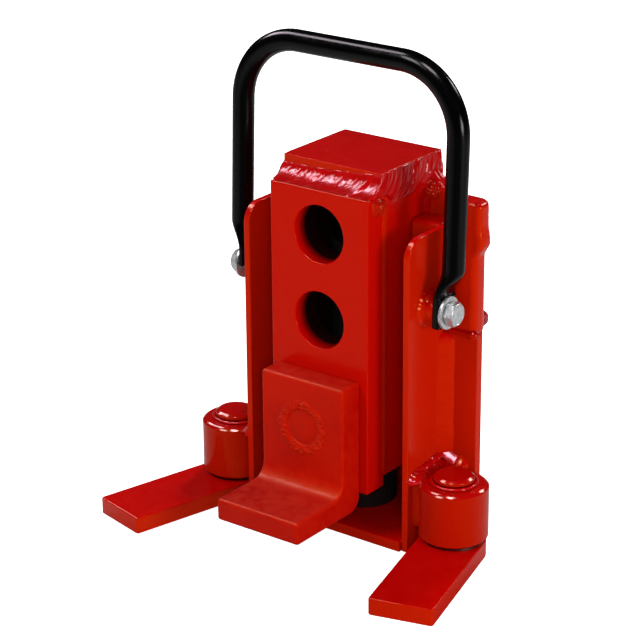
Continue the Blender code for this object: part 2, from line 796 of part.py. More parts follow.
def make_handle_bolt(side, sign, turn):
    """Hexagon bolt: the shank is turned, the head is a six-sided cone pair."""
    shank = BOLT_D / 2
    head_r = BOLT_HEAD_AF / 2 / math.cos(math.radians(30.0))
    length = HEAD_IN - BOSS_IN - 0.001
    bolt = rod("handle_bolt_" + side, shank, length + 0.001, FINE)
    bolt.location = (sign * (HEAD_IN - length), BOLT_Y, BOLT_Z)
    bolt.rotation_euler = turn
    head = rod("bolt_head_" + side, head_r, BOLT_HEAD_H, 6, guide=True)
    head.location = (sign * HEAD_IN, BOLT_Y, BOLT_Z)
    head.rotation_euler = turn
    crown = rod("bolt_crown_" + side, head_r + 0.0035, BOLT_HEAD_H + 0.002, ROUND, guide=True, top=head_r - 0.0035)
    crown.location = (sign * (HEAD_IN - 0.001), BOLT_Y, BOLT_Z)
    crown.rotation_euler = turn
    boolean(head, crown, "INTERSECT")
    boolean(bolt, head, "UNION")
    dress(bolt, zinc, 30.0)


def tube_ring(flat, count=16):
    """Section of the handle: flat is 0 for the round tube, 1 for the eye."""
    points = []
    for i in range(count):
        angle = math.tau * (i + 0.5) / count
        c, s = math.cos(angle), math.sin(angle)
        round_x, round_y = TUBE_D / 2 * c, TUBE_D / 2 * s
        eye_x = EYE_T / 2 * math.copysign(abs(c) ** 0.30, c)
        eye_y = EYE_W / 2 * math.copysign(abs(s) ** 0.85, s)
        points.append((round_x + (eye_x - round_x) * flat, round_y + (eye_y - round_y) * flat))
    return points


def ease(t):
    """Smooth step from 0 to 1."""
    t = min(1.0, max(0.0, t))
    return t * t * (3.0 - 2.0 * t)


def half_path():
    """Right half of the handle: (x, z, turn, flat) from the eye to the middle."""
    leg_x = EYE_X + JOGGLE_X
    start = EYE_FLAT
    path = [(EYE_X, 0.0, 0.0, 1.0), (EYE_X, start * 0.6, 0.0, 1.0)]
    for i in range(7):
        t = i / 6
        path.append((EYE_X + JOGGLE_X * ease(t), start + JOGGLE_L * t, 0.0, 1.0 - ease(t)))
    bend = HANDLE_TOP - HANDLE_R
    path.append((leg_x, (start + JOGGLE_L + bend) / 2, 0.0, 0.0))
    for i in range(10):
        angle = 90.0 * i / 9
        x = leg_x - HANDLE_R + HANDLE_R * math.cos(math.radians(angle))
        z = bend + HANDLE_R * math.sin(math.radians(angle))
        path.append((x, z, angle, 0.0))
    path.append((0.0, HANDLE_TOP, 90.0, 0.0))
    return path


def make_handle():
    """Carry handle: one bent tube whose flattened, joggled ends take the bolts."""
    right = half_path()
    path = right + [(-x, z, 180.0 - turn, flat) for x, z, turn, flat in reversed(right[:-1])]
    rings = []
    for x, z, turn, flat in path:
        c, s = math.cos(math.radians(turn)), math.sin(math.radians(turn))
        rings.append([(x + across * c, deep, z + across * s) for across, deep in tube_ring(flat)])
    handle = loft("handle", rings)
    handle.location = (0.0, BOLT_Y, BOLT_Z)
    handle.rotation_euler = (math.radians(-HANDLE_LEAN), 0.0, 0.0)
    for side, sign in (("left", -1.0), ("right", 1.0)):
        eye = rod("eye_disc_" + side, EYE_W / 2 + 0.0001, EYE_T + 0.0001, FINE, guide=True)
        eye.rotation_euler = (0.0, math.radians(90.0), 0.0)
        eye.location = (sign * EYE_X - EYE_T / 2 - 0.00005, BOLT_Y, BOLT_Z)
        hole = rod("eye_hole_" + side, BOLT_D / 2 + BOLT_RUN, EYE_T * 3, FINE, guide=True)
        hole.rotation_euler = (0.0, math.radians(90.0), 0.0)
        hole.location = (sign * EYE_X - EYE_T * 1.5, BOLT_Y, BOLT_Z)
        boolean(handle, eye, "UNION")
        boolean(handle, hole, "DIFFERENCE")
    dress(handle, black, 40.0)


def tank_outline():
    """Plan of the tank: full width at its shoulder, narrower at the back."""
    half = TANK_W / 2
    tail = TANK_TAIL_W / 2
    points = [(-half, TANK_FRONT), (half, TANK_FRONT), (half, TANK_FRONT + TANK_SHOULDER)]
    points += [(tail, TANK_BACK), (-tail, TANK_BACK), (-half, TANK_FRONT + TANK_SHOULDER)]
    return points


def make_tank():
    """Oil tank with its filler cap and the release valve."""
    half = TANK_W / 2
    tank = sheet("oil_tank", tank_outline(), TANK_H)
    tank.location.z = BASE_T + GAP + TANK_H / 2
    bevel(tank, EDGE * 3, 2)
    well = rod("plunger_well", PLUNGER_D / 2 + PIN_RUN, PLUNGER_WELL + 0.01, FINE, guide=True)
    well.location = (0.0, PLUNGER_Y, TANK_TOP - PLUNGER_WELL)
    boolean(tank, well, "DIFFERENCE")
    stem = rod("valve_cutter", VALVE_STEM_D / 2 + PIN_RUN, VALVE_STEM_L + 0.005, FINE, guide=True)
    stem.location = (-VALVE_X, TANK_BACK - VALVE_STEM_L, VALVE_Z)
    stem.rotation_euler = (math.radians(-90.0), 0.0, 0.0)
    boolean(tank, stem, "DIFFERENCE")
    dress(tank, red)
    neck = FILLER_NECK_D / 2
    cap = FILLER_D / 2
    low = FILLER_NECK_H
    high = low + FILLER_H
    profile = [(0.0, high), (cap - 0.002, high), (cap, high - 0.002), (cap, low + FILLER_H * 0.6)]
    profile += [(neck, low), (neck, 0.0), (0.0, 0.0)]
    filler = turned("filler_cap", profile, FINE)
    filler.location = (half - FILLER_EDGE, TANK_FRONT + cap + FILLER_FREE, TANK_TOP + GAP)
    dress(filler, black, 30.0)
    make_valve()


def make_valve():
    """Release valve: a stem with a round head and a cross bar."""
    stem = VALVE_STEM_D / 2
    head = VALVE_HEAD_D / 2
    gap = GAP
    profile = [(0.0, VALVE_HEAD_L + gap), (head - 0.001, VALVE_HEAD_L + gap), (head, VALVE_HEAD_L + gap - 0.001)]
    profile += [(head, gap), (stem, gap), (stem, -VALVE_STEM_L + 0.001), (0.0, -VALVE_STEM_L + 0.001)]
    valve = turned("release_valve", profile, 20)
    valve.location = (-VALVE_X, TANK_BACK, VALVE_Z)
    valve.rotation_euler = (math.radians(-90.0), 0.0, 0.0)
    bar = rod("valve_bar", VALVE_BAR_D / 2, VALVE_BAR_L, 16, guide=True)
    bar.location = (-VALVE_X - VALVE_BAR_L / 2, TANK_BACK + gap + VALVE_HEAD_L / 2, VALVE_Z)
    bar.rotation_euler = (0.0, math.radians(90.0), 0.0)
    boolean(valve, bar, "UNION")
    dress(valve, zinc, 30.0)


def make_pump():
    """Pump barrel and nut on the tank, and the plunger with its flat head."""
    barrel = ring_profile(PLUNGER_D / 2 + PIN_RUN, PUMP_D / 2, 0.0, PUMP_H, 0.001)
    body = turned("pump_barrel", barrel, FINE)
    body.location = (0.0, PLUNGER_Y, TANK_TOP + GAP)
    dress(body, red, 30.0)
    nut = rod("pump_nut", PUMP_NUT_R, PUMP_NUT_H, 6)
    nut.location = (0.0, PLUNGER_Y, TANK_TOP + GAP + PUMP_H + GAP)
    hole = rod("pump_nut_cutter", PLUNGER_D / 2 + PIN_RUN, PUMP_NUT_H + 0.01, FINE, guide=True)
    hole.location = (0.0, PLUNGER_Y, TANK_TOP + PUMP_H - 0.004)
    boolean(nut, hole, "DIFFERENCE")
    dress(nut, steel, 30.0)
    low = TANK_TOP + GAP + 0.002
    neck = LINK_Z - HEAD_T
    plunger = rod("plunger", PLUNGER_D / 2, neck - low, FINE)
    plunger.location = (0.0, PLUNGER_Y, low)
    half = HEAD_T / 2
    deep = PLUNGER_D / 2 - ARM_FREE
    head = block("plunger_head", -half, half, PLUNGER_Y - deep, PLUNGER_Y + deep,
                 neck - 0.002, LINK_Z + HEAD_T * 0.7, guide=True)
    bevel(head, 0.003, 2)
    pin = rod("link_pin", LINK_PIN_D / 2, 2 * FORK_OUT, FINE, guide=True)
    pin.rotation_euler = (0.0, math.radians(90.0), 0.0)
    pin.location = (-FORK_OUT, PLUNGER_Y, LINK_Z)
    boolean(plunger, head, "UNION")
    boolean(plunger, pin, "UNION")
    dress(plunger, zinc, 30.0)


def make_lever():
    """Lever: two slotted cheeks under a socket for the pump bar."""
    reach = ARM_L + LINK_PIN_D
    eye = FULCRUM_D / 2 + 0.006
    a = math.radians(ARM_ANGLE)
    base = SOCKET_D / 2
    rise = max(reach * math.sin(a) + LINK_PIN_D, eye) + 0.004
    tip = (reach * math.cos(a), reach * math.sin(a))
    outline = arc(0.0, 0.0, eye, 180.0, 300.0, 10)
    tail = LINK_PIN_D / 2 + LINK_PLAY + 0.0035
    outline += arc(tip[0], tip[1], tail, -75.0, 45.0, 8)
    outline += [(base - 0.001, rise), (base - 0.001, rise + 0.008), (-base + 0.001, rise + 0.008), (-base + 0.001, rise)]
    slot_r = LINK_PIN_D / 2 + LINK_PLAY
    near = ARM_L * 0.80
    far = ARM_L * 1.09
    slot = arc(near * math.cos(a), near * math.sin(a), slot_r, 127.0, 307.0, 10)
    slot += arc(far * math.cos(a), far * math.sin(a), slot_r, -53.0, 127.0, 10)
    bore = ring_loop(FULCRUM_D / 2 + PIN_RUN, FINE)
    lever = sheet("lever_socket", outline, FORK_T, holes=(slot, bore))
    stand_yz(lever, FORK_IN + FORK_T / 2)
    lever.location.y = FULCRUM_Y
    lever.location.z = FULCRUM_Z
    twin = sheet("cheek", outline, FORK_T, holes=(slot, bore), guide=True)
    stand_yz(twin, -FORK_IN - FORK_T / 2)
    twin.location.y = FULCRUM_Y
    twin.location.z = FULCRUM_Z
    z0 = FULCRUM_Z + rise + 0.004
    bridge = rod("socket_body", SOCKET_D / 2, SOCKET_L, FINE, guide=True)
    bridge.location = (0.0, FULCRUM_Y, z0)
    bore_cut = rod("socket_bore", SOCKET_BORE_D / 2, SOCKET_L, FINE, guide=True)
    bore_cut.location = (0.0, FULCRUM_Y, z0 + SOCKET_FLOOR)
    yoke = block("yoke", -FORK_OUT, FORK_OUT, FULCRUM_Y - base, FULCRUM_Y + base,
                 FULCRUM_Z + rise, FULCRUM_Z + rise + 0.010, guide=True)
    boolean(lever, twin, "UNION")
    boolean(lever, yoke, "UNION")
    boolean(lever, bridge, "UNION")
    boolean(lever, bore_cut, "DIFFERENCE")
    dress(lever, red, 30.0)


def make_fulcrum():
    """Two ears on the tank and the pin that the lever turns on."""
    r = FULCRUM_D / 2 + 0.006
    foot = TANK_TOP + GAP
    run = FULCRUM_D / 2 + GAP
    low = foot - FULCRUM_Z
    front = TANK_FRONT - FULCRUM_Y + 0.0005
    outline = [(front, low), (r, low)]
    outline += arc(0.0, 0.0, r, 0.0, 180.0, 12)
    outline += [(front, -r)]
    hole = ring_loop(run, FINE)
    for side, sign in (("left", -1.0), ("right", 1.0)):
        ear = sheet("fulcrum_ear_" + side, outline, EAR_T, holes=(hole,))
        stand_yz(ear, sign * (EAR_IN + EAR_T / 2))
        ear.location.y = FULCRUM_Y
        ear.location.z = FULCRUM_Z
        dress(bevel(ear, EDGE, 1), red)
    pin = rod("fulcrum_pin", FULCRUM_D / 2, 2 * EAR_OUT + 0.004, FINE)
    pin.rotation_euler = (0.0, math.radians(90.0), 0.0)
    pin.location = (-EAR_OUT - 0.002, FULCRUM_Y, FULCRUM_Z)
    dress(bevel(pin, EDGE, 1), zinc, 30.0)


def build():
    """Make every piece."""
    clear_scene()
    make_base()
    make_sides()
    make_back()
    make_rails()
    make_wings()
    make_post()
    make_hubs()
    make_feet()
    make_cylinder()
    make_lift_block()
    make_cap_weld()
    make_toe()
    make_handle_mounts()
    make_handle()
    make_tank()
    make_pump()
    make_lever()
    make_fulcrum()


build()
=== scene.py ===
# %% [markdown]
# Toe jack. A hydraulic cylinder lifts a thick welded block, and a removable
# toe hooks into the block to get under a machine. The frame, the joints and
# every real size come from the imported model, so this file only makes looks.
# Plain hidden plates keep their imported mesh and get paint. Round, bent and
# welded pieces, and plates whose edges are seen, are made again here with
# finer surfaces, because flat facets show at once in gloss paint.

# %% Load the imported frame
import json
import math

import bmesh
import bpy
import numpy as np
from mathutils import Matrix, Vector


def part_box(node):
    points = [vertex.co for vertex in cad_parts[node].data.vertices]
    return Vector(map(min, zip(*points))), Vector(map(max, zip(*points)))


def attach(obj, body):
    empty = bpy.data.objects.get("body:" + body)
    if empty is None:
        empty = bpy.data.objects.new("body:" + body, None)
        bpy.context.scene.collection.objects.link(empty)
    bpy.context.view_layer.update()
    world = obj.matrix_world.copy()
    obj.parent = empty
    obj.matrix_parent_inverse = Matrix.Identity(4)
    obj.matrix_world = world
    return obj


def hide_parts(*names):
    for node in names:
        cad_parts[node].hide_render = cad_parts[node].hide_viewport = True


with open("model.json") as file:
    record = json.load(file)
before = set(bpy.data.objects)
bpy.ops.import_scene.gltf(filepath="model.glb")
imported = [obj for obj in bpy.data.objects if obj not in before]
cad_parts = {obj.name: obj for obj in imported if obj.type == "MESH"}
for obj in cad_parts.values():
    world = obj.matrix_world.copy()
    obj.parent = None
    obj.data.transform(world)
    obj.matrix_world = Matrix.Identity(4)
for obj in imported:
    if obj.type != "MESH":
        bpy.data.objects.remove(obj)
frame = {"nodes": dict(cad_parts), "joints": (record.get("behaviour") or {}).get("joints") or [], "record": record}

NODES = frame["nodes"]
PIVOT = {j["name"]: np.array(j.get("pos_m", (0, 0, 0)), float) for j in frame["joints"]}
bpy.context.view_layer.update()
SIDES = (("left", -1.0), ("right", 1.0))

# %% [markdown]
# A new piece is a grid of points: rows run along the piece and columns run
# round it. One helper turns any grid into a mesh, and closes it where the
# piece closes on itself. It is the base for every surface below.


# %% From a grid of points to a mesh
MERGE_DISTANCE = 0.000002


def box(node):
    """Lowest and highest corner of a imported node, as arrays."""
    low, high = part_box(node)
    return np.array(low, float), np.array(high, float)


def grid_faces(rows, columns, wrap_rows=False, wrap_columns=True):
    """Four-sided faces between neighbouring rows and columns of a grid."""
    r = np.arange(rows if wrap_rows else rows - 1)
    c = np.arange(columns if wrap_columns else columns - 1)
    r, c = np.meshgrid(r, c, indexing="ij")
    right, up = (c + 1) % columns, (r + 1) % rows
    faces = np.stack([r * columns + c, r * columns + right, up * columns + right, up * columns + c], -1)
    return faces.reshape(-1, 4)


def smooth(item, sharp):
    """Smooth shading, with a hard line where faces meet at more than the sharp angle."""
    item.data.shade_smooth()
    item.data.set_sharp_from_angle(angle=math.radians(sharp))


def into_scene(name, mesh, sharp):
    """Object at the origin that shows a mesh."""
    made = bpy.data.objects.new(name, mesh)
    bpy.context.scene.collection.objects.link(made)
    smooth(made, sharp)
    return made


def fresh_mesh(name, points, faces, sharp=35.0):
    """Object over points and faces, with doubles merged and normals outwards."""
    mesh = bpy.data.meshes.new(name)
    mesh.from_pydata(points.reshape(-1, 3).tolist(), [], faces)
    shape = bmesh.new()
    shape.from_mesh(mesh)
    bmesh.ops.remove_doubles(shape, verts=shape.verts, dist=MERGE_DISTANCE)
    bmesh.ops.recalc_face_normals(shape, faces=shape.faces)
    shape.to_mesh(mesh)
    shape.free()
    return into_scene(name, mesh, sharp)


def skin(name, grid, wrap_rows=False, sharp=35.0):
    """Closed body over a grid whose columns run right round the piece."""
    rows, columns = grid.shape[:2]
    faces = grid_faces(rows, columns, wrap_rows).tolist()
    if not wrap_rows:
        faces.append(list(range(columns))[::-1])
        faces.append(list(range((rows - 1) * columns, rows * columns)))
    return fresh_mesh(name, grid, faces, sharp)


def settle(piece, body, nodes, paint):
    """Put a finished piece on its body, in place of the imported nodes."""
    piece.data.materials.append(paint)
    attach(piece, body)
    if nodes:
        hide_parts(*nodes)
    print(f"{piece.name}: {len(piece.data.polygons)} faces on {body}")


# %% [markdown]
# Turned pieces such as pins, washers and bosses are a profile spun about an
# axis. A real turned corner always has a small radius, and that radius is
# what catches the light, so the profile gets its corners rounded first.


# %% Profiles with rounded corners, and turned pieces
def round_corners(points, radius, steps=5):
    """Polyline with each inner corner replaced by an arc of that radius.

    For a corner with the unit directions a and b to its neighbours, the arc
    starts at radius / tan(half angle) along a and ends as far along b.
    A radius may be one number, or one for each point.
    """
    points = np.asarray(points, float)
    radii = np.broadcast_to(radius, len(points)).astype(float)
    out = [points[0]]
    for i in range(1, len(points) - 1):
        a, b = points[i - 1] - points[i], points[i + 1] - points[i]
        la, lb = np.linalg.norm(a), np.linalg.norm(b)
        a, b = a / la, b / lb
        half = 0.5 * math.acos(float(np.clip(a @ b, -1, 1)))
        if radii[i] <= 0 or half > 1.54:
            out.append(points[i])
            continue
        reach = min(radii[i] / math.tan(half), 0.49 * min(la, lb))
        r = reach * math.tan(half)
        middle = points[i] + (a + b) / np.linalg.norm(a + b) * (r / math.sin(half))
        start, end = points[i] + a * reach - middle, points[i] + b * reach - middle
        turn = math.acos(float(np.clip(start @ end / (r * r), -1, 1)))
        t = np.linspace(0, 1, steps + 1)[:, None]
        arc = (np.sin((1 - t) * turn) * start + np.sin(t * turn) * end) / math.sin(turn)
        out.extend(middle + arc)
    out.append(points[-1])
    return np.array(out)


def axes_from(direction):
    """Two unit vectors at right angles to a direction."""
    d = np.asarray(direction, float)
    d = d / np.linalg.norm(d)
    helper = np.array([0.0, 0.0, 1.0]) if abs(d[2]) < 0.9 else np.array([1.0, 0.0, 0.0])
    u = np.cross(helper, d)
    u /= np.linalg.norm(u)
    return u, np.cross(d, u), d


def turned(name, profile, centre, direction, steps=72, radius=0.0006, closed=False):
    """Turned piece: a point at angle p is centre + r (u cos p + v sin p) + h d.

    The profile is a list of (r, h). A closed profile makes a ring.
    """
    profile = np.asarray(profile, float)
    if closed:
        profile = np.vstack([(profile[0] + profile[-1]) / 2, profile, (profile[0] + profile[-1]) / 2])
    line = round_corners(profile, radius)
    if closed:
        line = line[:-1]
    u, v, d = axes_from(direction)
    angle = np.arange(steps) * (math.tau / steps)
    ring = np.cos(angle)[:, None] * u + np.sin(angle)[:, None] * v
    grid = np.asarray(centre) + line[:, 0, None, None] * ring + line[:, 1, None, None] * d
    return skin(name, grid, wrap_rows=closed, sharp=50.0)


# %% [markdown]
# A plate is an outline pushed through its thickness. Its edge is rounded by a
# few extra rings that step inwards while they step up, and a last ring just
# inside keeps the shading of the flat face flat. Holes are outlines as well,
# with the same rings turned the other way.


# %% Outlines
def arc(cx, cy, radius, start, end, steps=10):
    """Points of an arc in degrees, both ends included."""
    angle = np.radians(np.linspace(start, end, steps + 1))
    return np.stack([cx + radius * np.cos(angle), cy + radius * np.sin(angle)], -1)


def circle(radius):
    """Hole of 48 points about the origin."""
    return arc(0, 0, radius, 0, 352.5, 47)


def corners(low, high, a, b):
    """Four corners of a box as it is seen along its third axis."""
    return [(low[a], low[b]), (high[a], low[b]), (high[a], high[b]), (low[a], high[b])]


def rounded_outline(points, radius, steps=6):
    """Closed outline with rounded corners; radius is one number or one for each point."""
    points = np.asarray(points, float)
    radii = np.broadcast_to(radius, len(points))
    start = (points[0] + points[-1]) / 2
    open_line = np.vstack([start, points, start])
    return round_corners(open_line, np.concatenate([[0], radii, [0]]), steps)[:-1]


def inset(loop, distance):
    """Loop moved to its left by a distance, exact at its corners.

    With unit edge normals n and m at a point, the move is
    distance (n + m) / (1 + n . m).
    """
    ahead = np.roll(loop, -1, 0) - loop
    ahead /= np.linalg.norm(ahead, axis=1)[:, None]
    normal = np.stack([-ahead[:, 1], ahead[:, 0]], -1)
    before = np.roll(normal, 1, 0)
    share = 1.0 + np.sum(normal * before, 1)
    return loop + distance * (normal + before) / np.maximum(share, 0.3)[:, None]


# %% Plates with rounded edges and holes
BEVEL_SLOPE = 0.75
INNER_RING = 0.0004
PLATE_SHARP = 40.0


def edge_profile(thickness, edge, bevel=0.0, steps=4):
    """(inset, height) pairs from the bottom face round the edge to the top face.

    The bevel runs from 0 for a quarter circle to 1 for a straight cut with
    the slope BEVEL_SLOPE.
    """
    turn = np.radians(np.linspace(-90, 0, steps + 1))
    share = np.linspace(0, 1, steps + 1)
    low = np.stack([edge - edge * np.cos(turn), edge + edge * np.sin(turn)], -1)
    low = (1 - bevel) * low + bevel * np.stack([edge * (1 - share), BEVEL_SLOPE * edge * share], -1)
    inner = np.array([[edge + INNER_RING, 0.0]])
    waist = min(edge * 1.6, thickness / 2)
    low = np.vstack([inner, low, [[0.0, waist]]])
    high = low[::-1] * [1, -1] + [0, thickness]
    return np.vstack([low, high])


def plate(name, outline, low, high, edge=0.0008, holes=(), plane="XY", hole_edge=None, bevel=0.0):
    """Plate between two levels of its normal axis, with rounded edges.

    Outline and holes are carried up through their edge profiles, and the two
    flat faces between the last rings are filled with triangles.
    """
    hole_edge = edge if hole_edge is None else hole_edge
    columns = {"XY": (0, 1, 2), "YZ": (1, 2, 0), "XZ": (0, 2, 1)}[plane]
    points, faces, tops, bottoms, start = [], [], [], [], 0
    for number, loop in enumerate([outline, *holes]):
        loop = np.asarray(loop, float)
        area = np.sum(loop[:, 0] * np.roll(loop[:, 1], -1) - loop[:, 1] * np.roll(loop[:, 0], -1))
        wanted = 1 if number == 0 else -1
        loop = loop if area * wanted > 0 else loop[::-1]
        profile = edge_profile(high - low, edge if number == 0 else hole_edge, bevel if number == 0 else 0.0)
        grid = np.zeros((len(profile), len(loop), 3))
        for row, (step, level) in enumerate(profile):
            grid[row][:, columns[:2]] = inset(loop, step)
            grid[row][:, columns[2]] = low + level
        count = len(loop)
        faces.append(grid_faces(len(profile), count) + start)
        bottoms.append(np.arange(start, start + count))
        start += grid[..., 0].size
        tops.append(np.arange(start - count, start))
        points.append(grid.reshape(-1, 3))
    mesh = bpy.data.meshes.new(name)
    mesh.from_pydata(np.concatenate(points).tolist(), [], np.concatenate(faces).tolist())
    shape = bmesh.new()
    shape.from_mesh(mesh)
    shape.verts.ensure_lookup_table()
    for rims in (tops, bottoms):
        inside = set(np.concatenate(rims).tolist())
        rim_edges = [e for e in shape.edges if e.is_boundary and all(v.index in inside for v in e.verts)]
        bmesh.ops.triangle_fill(shape, edges=rim_edges, use_beauty=True)
    bmesh.ops.recalc_face_normals(shape, faces=shape.faces)
    shape.to_mesh(mesh)
    shape.free()
    return into_scene(name, mesh, PLATE_SHARP)


# %% [markdown]
# Paint is a film with its own surface. Sprayed enamel dries with a fine
# orange peel, and over plate steel it also shows broad soft waves. Dust and
# handling dull it in patches. These effects are used by several finishes, so
# each is a node group that is made once and placed where it is needed.


# %% Small steps for shader trees
def socket(group, name, kind, way, value=None):
    """Add one named socket to a node group."""
    made = group.interface.new_socket(name=name, in_out=way, socket_type=kind)
    if value is not None:
        made.default_value = value
    return made


def noise(tree, vector, scale, detail=3.0, rough=0.5):
    """Noise texture node on a vector, returning its factor socket."""
    node = tree.nodes.new("ShaderNodeTexNoise")
    node.inputs["Scale"].default_value = scale
    node.inputs["Detail"].default_value = detail
    node.inputs["Roughness"].default_value = rough
    tree.links.new(vector, node.inputs["Vector"])
    return node.outputs["Fac"]


def spread(tree, value, low, high, out_low=0.0, out_high=1.0):
    """Map a value from one range to another, held at both ends."""
    node = tree.nodes.new("ShaderNodeMapRange")
    node.inputs["From Min"].default_value = low
    node.inputs["From Max"].default_value = high
    node.inputs["To Min"].default_value = out_low
    node.inputs["To Max"].default_value = out_high
    tree.links.new(value, node.inputs["Value"])
    return node.outputs["Result"]


def maths(tree, operation, a, b):
    """Math node with sockets or numbers as its two inputs."""
    node = tree.nodes.new("ShaderNodeMath")
    node.operation = operation
    for slot, value in enumerate((a, b)):
        if isinstance(value, (int, float)):
            node.inputs[slot].default_value = value
        else:
            tree.links.new(value, node.inputs[slot])
    return node.outputs[0]


def mix_colour(tree, factor, a, b, blend="MIX"):
    """Mix two colours; each may be a socket or a colour."""
    node = tree.nodes.new("ShaderNodeMix")
    node.data_type = "RGBA"
    node.blend_type = blend
    for name, value in (("Factor", factor), ("A", a), ("B", b)):
        target = [s for s in node.inputs if s.name == name and s.enabled][0]
        if isinstance(value, bpy.types.NodeSocket):
            tree.links.new(value, target)
        elif isinstance(value, (int, float)):
            target.default_value = value
        else:
            target.default_value = (*value, 1.0)
    return [s for s in node.outputs if s.enabled][0]


# %% Shader groups: paint film, edge mask for the painted highlight on edges, and dust
def make_film_group():
    """Paint film: colour drift, roughness drift and the height of its skin."""
    group = bpy.data.node_groups.new("paint film", "ShaderNodeTree")
    socket(group, "Vector", "NodeSocketVector", "INPUT")
    socket(group, "Colour", "NodeSocketColor", "INPUT", (0.5, 0.5, 0.5, 1.0))
    socket(group, "Deep Colour", "NodeSocketColor", "INPUT", (0.3, 0.3, 0.3, 1.0))
    socket(group, "Gloss", "NodeSocketFloat", "INPUT", 0.25)
    socket(group, "Colour", "NodeSocketColor", "OUTPUT")
    socket(group, "Roughness", "NodeSocketFloat", "OUTPUT")
    socket(group, "Height", "NodeSocketFloat", "OUTPUT")
    way_in = group.nodes.new("NodeGroupInput")
    way_out = group.nodes.new("NodeGroupOutput")
    vector = way_in.outputs["Vector"]
    broad = noise(group, vector, 14.0, 2.0)
    mottle = noise(group, vector, 120.0, 4.0, 0.6)
    peel = noise(group, vector, 520.0, 2.0)
    grit = noise(group, vector, 1900.0, 1.0)
    drift = maths(group, "ADD", maths(group, "MULTIPLY", broad, 0.6), maths(group, "MULTIPLY", mottle, 0.4))
    toned = mix_colour(group, spread(group, drift, 0.38, 0.62), way_in.outputs["Deep Colour"],
                       way_in.outputs["Colour"])
    group.links.new(toned, way_out.inputs["Colour"])
    rough = maths(group, "MULTIPLY", way_in.outputs["Gloss"], spread(group, mottle, 0.35, 0.65, 0.80, 1.35))
    group.links.new(rough, way_out.inputs["Roughness"])
    skin_height = maths(group, "ADD", maths(group, "MULTIPLY", peel, 0.55), maths(group, "MULTIPLY", mottle, 0.35))
    skin_height = maths(group, "ADD", skin_height, maths(group, "MULTIPLY", grit, 0.10))
    group.links.new(skin_height, way_out.inputs["Height"])
    return group


def make_edge_group():
    """Edge mask: 1 where the rounded normal leaves the true one, 0 on flats."""
    group = bpy.data.node_groups.new("edge mask", "ShaderNodeTree")
    socket(group, "Vector", "NodeSocketVector", "INPUT")
    socket(group, "Width", "NodeSocketFloat", "INPUT", 0.0015)
    socket(group, "Mask", "NodeSocketFloat", "OUTPUT")
    way_in = group.nodes.new("NodeGroupInput")
    way_out = group.nodes.new("NodeGroupOutput")
    bevel = group.nodes.new("ShaderNodeBevel")
    bevel.samples = 4
    group.links.new(way_in.outputs["Width"], bevel.inputs["Radius"])
    true = group.nodes.new("ShaderNodeNewGeometry")
    dot = group.nodes.new("ShaderNodeVectorMath")
    dot.operation = "DOT_PRODUCT"
    group.links.new(bevel.outputs["Normal"], dot.inputs[0])
    group.links.new(true.outputs["True Normal"], dot.inputs[1])
    bent = spread(group, dot.outputs["Value"], 0.98, 0.80)
    patchy = spread(group, noise(group, way_in.outputs["Vector"], 160.0, 4.0, 0.7), 0.35, 0.60)
    group.links.new(maths(group, "MULTIPLY", bent, patchy), way_out.inputs["Mask"])
    return group


def make_dust_group():
    """Mask of faces that look up, and the dust that settles on them in patches."""
    group = bpy.data.node_groups.new("settled dust", "ShaderNodeTree")
    socket(group, "Vector", "NodeSocketVector", "INPUT")
    socket(group, "Amount", "NodeSocketFloat", "INPUT", 0.2)
    socket(group, "Mask", "NodeSocketFloat", "OUTPUT")
    socket(group, "Up", "NodeSocketFloat", "OUTPUT")
    way_in = group.nodes.new("NodeGroupInput")
    way_out = group.nodes.new("NodeGroupOutput")
    true = group.nodes.new("ShaderNodeNewGeometry")
    parts = group.nodes.new("ShaderNodeSeparateXYZ")
    group.links.new(true.outputs["Normal"], parts.inputs[0])
    up = spread(group, parts.outputs["Z"], 0.5, 1.0)
    group.links.new(spread(group, parts.outputs["Z"], 0.15, 0.55), way_out.inputs["Up"])
    patchy = spread(group, noise(group, way_in.outputs["Vector"], 60.0, 6.0, 0.7), 0.45, 0.75)
    mask = maths(group, "MULTIPLY", maths(group, "MULTIPLY", up, patchy), way_in.outputs["Amount"])
    group.links.new(mask, way_out.inputs["Mask"])
    return group


FILM = make_film_group()
EDGE = make_edge_group()
DUST = make_dust_group()
print("shader groups", [g.name for g in bpy.data.node_groups])

# %% [markdown]
# The finishes. The jack is sprayed with one red enamel over everything that is welded, weld beads included. It lies
# glossier on turned steel and on weld than on rough plate, so it has one material for each. The copy on turned steel
# has a darker red as painted shade, and one more copy carries painted shade inside the bores. The handle is black
# enamel, the bolts and washers are zinc plated, the ram is ground and chromed.


# %% Enamel and plating
DUST_COLOUR = (0.42, 0.33, 0.27)
COAT_ROUGHNESS = 0.10


def start_finish(name):
    """New material with its tree, Principled shader and Object coordinates."""
    paint = bpy.data.materials.new(name)
    paint.use_nodes = True
    tree = paint.node_tree
    shader = tree.nodes["Principled BSDF"]
    where = tree.nodes.new("ShaderNodeTexCoord").outputs["Object"]
    return paint, tree, shader, where


def place_group(tree, group, where, **values):
    """Put a node group in a material and set its inputs."""
    node = tree.nodes.new("ShaderNodeGroup")
    node.node_tree = group
    tree.links.new(where, node.inputs["Vector"])
    for name, value in values.items():
        node.inputs[name.replace("_", " ")].default_value = value
    return node


def relief(tree, shader, height, strength, distance):
    """Bump from a height, fed to the shader's normal."""
    bump = tree.nodes.new("ShaderNodeBump")
    bump.inputs["Strength"].default_value = strength
    bump.inputs["Distance"].default_value = distance
    tree.links.new(height, bump.inputs["Height"])
    tree.links.new(bump.outputs["Normal"], shader.inputs["Normal"])


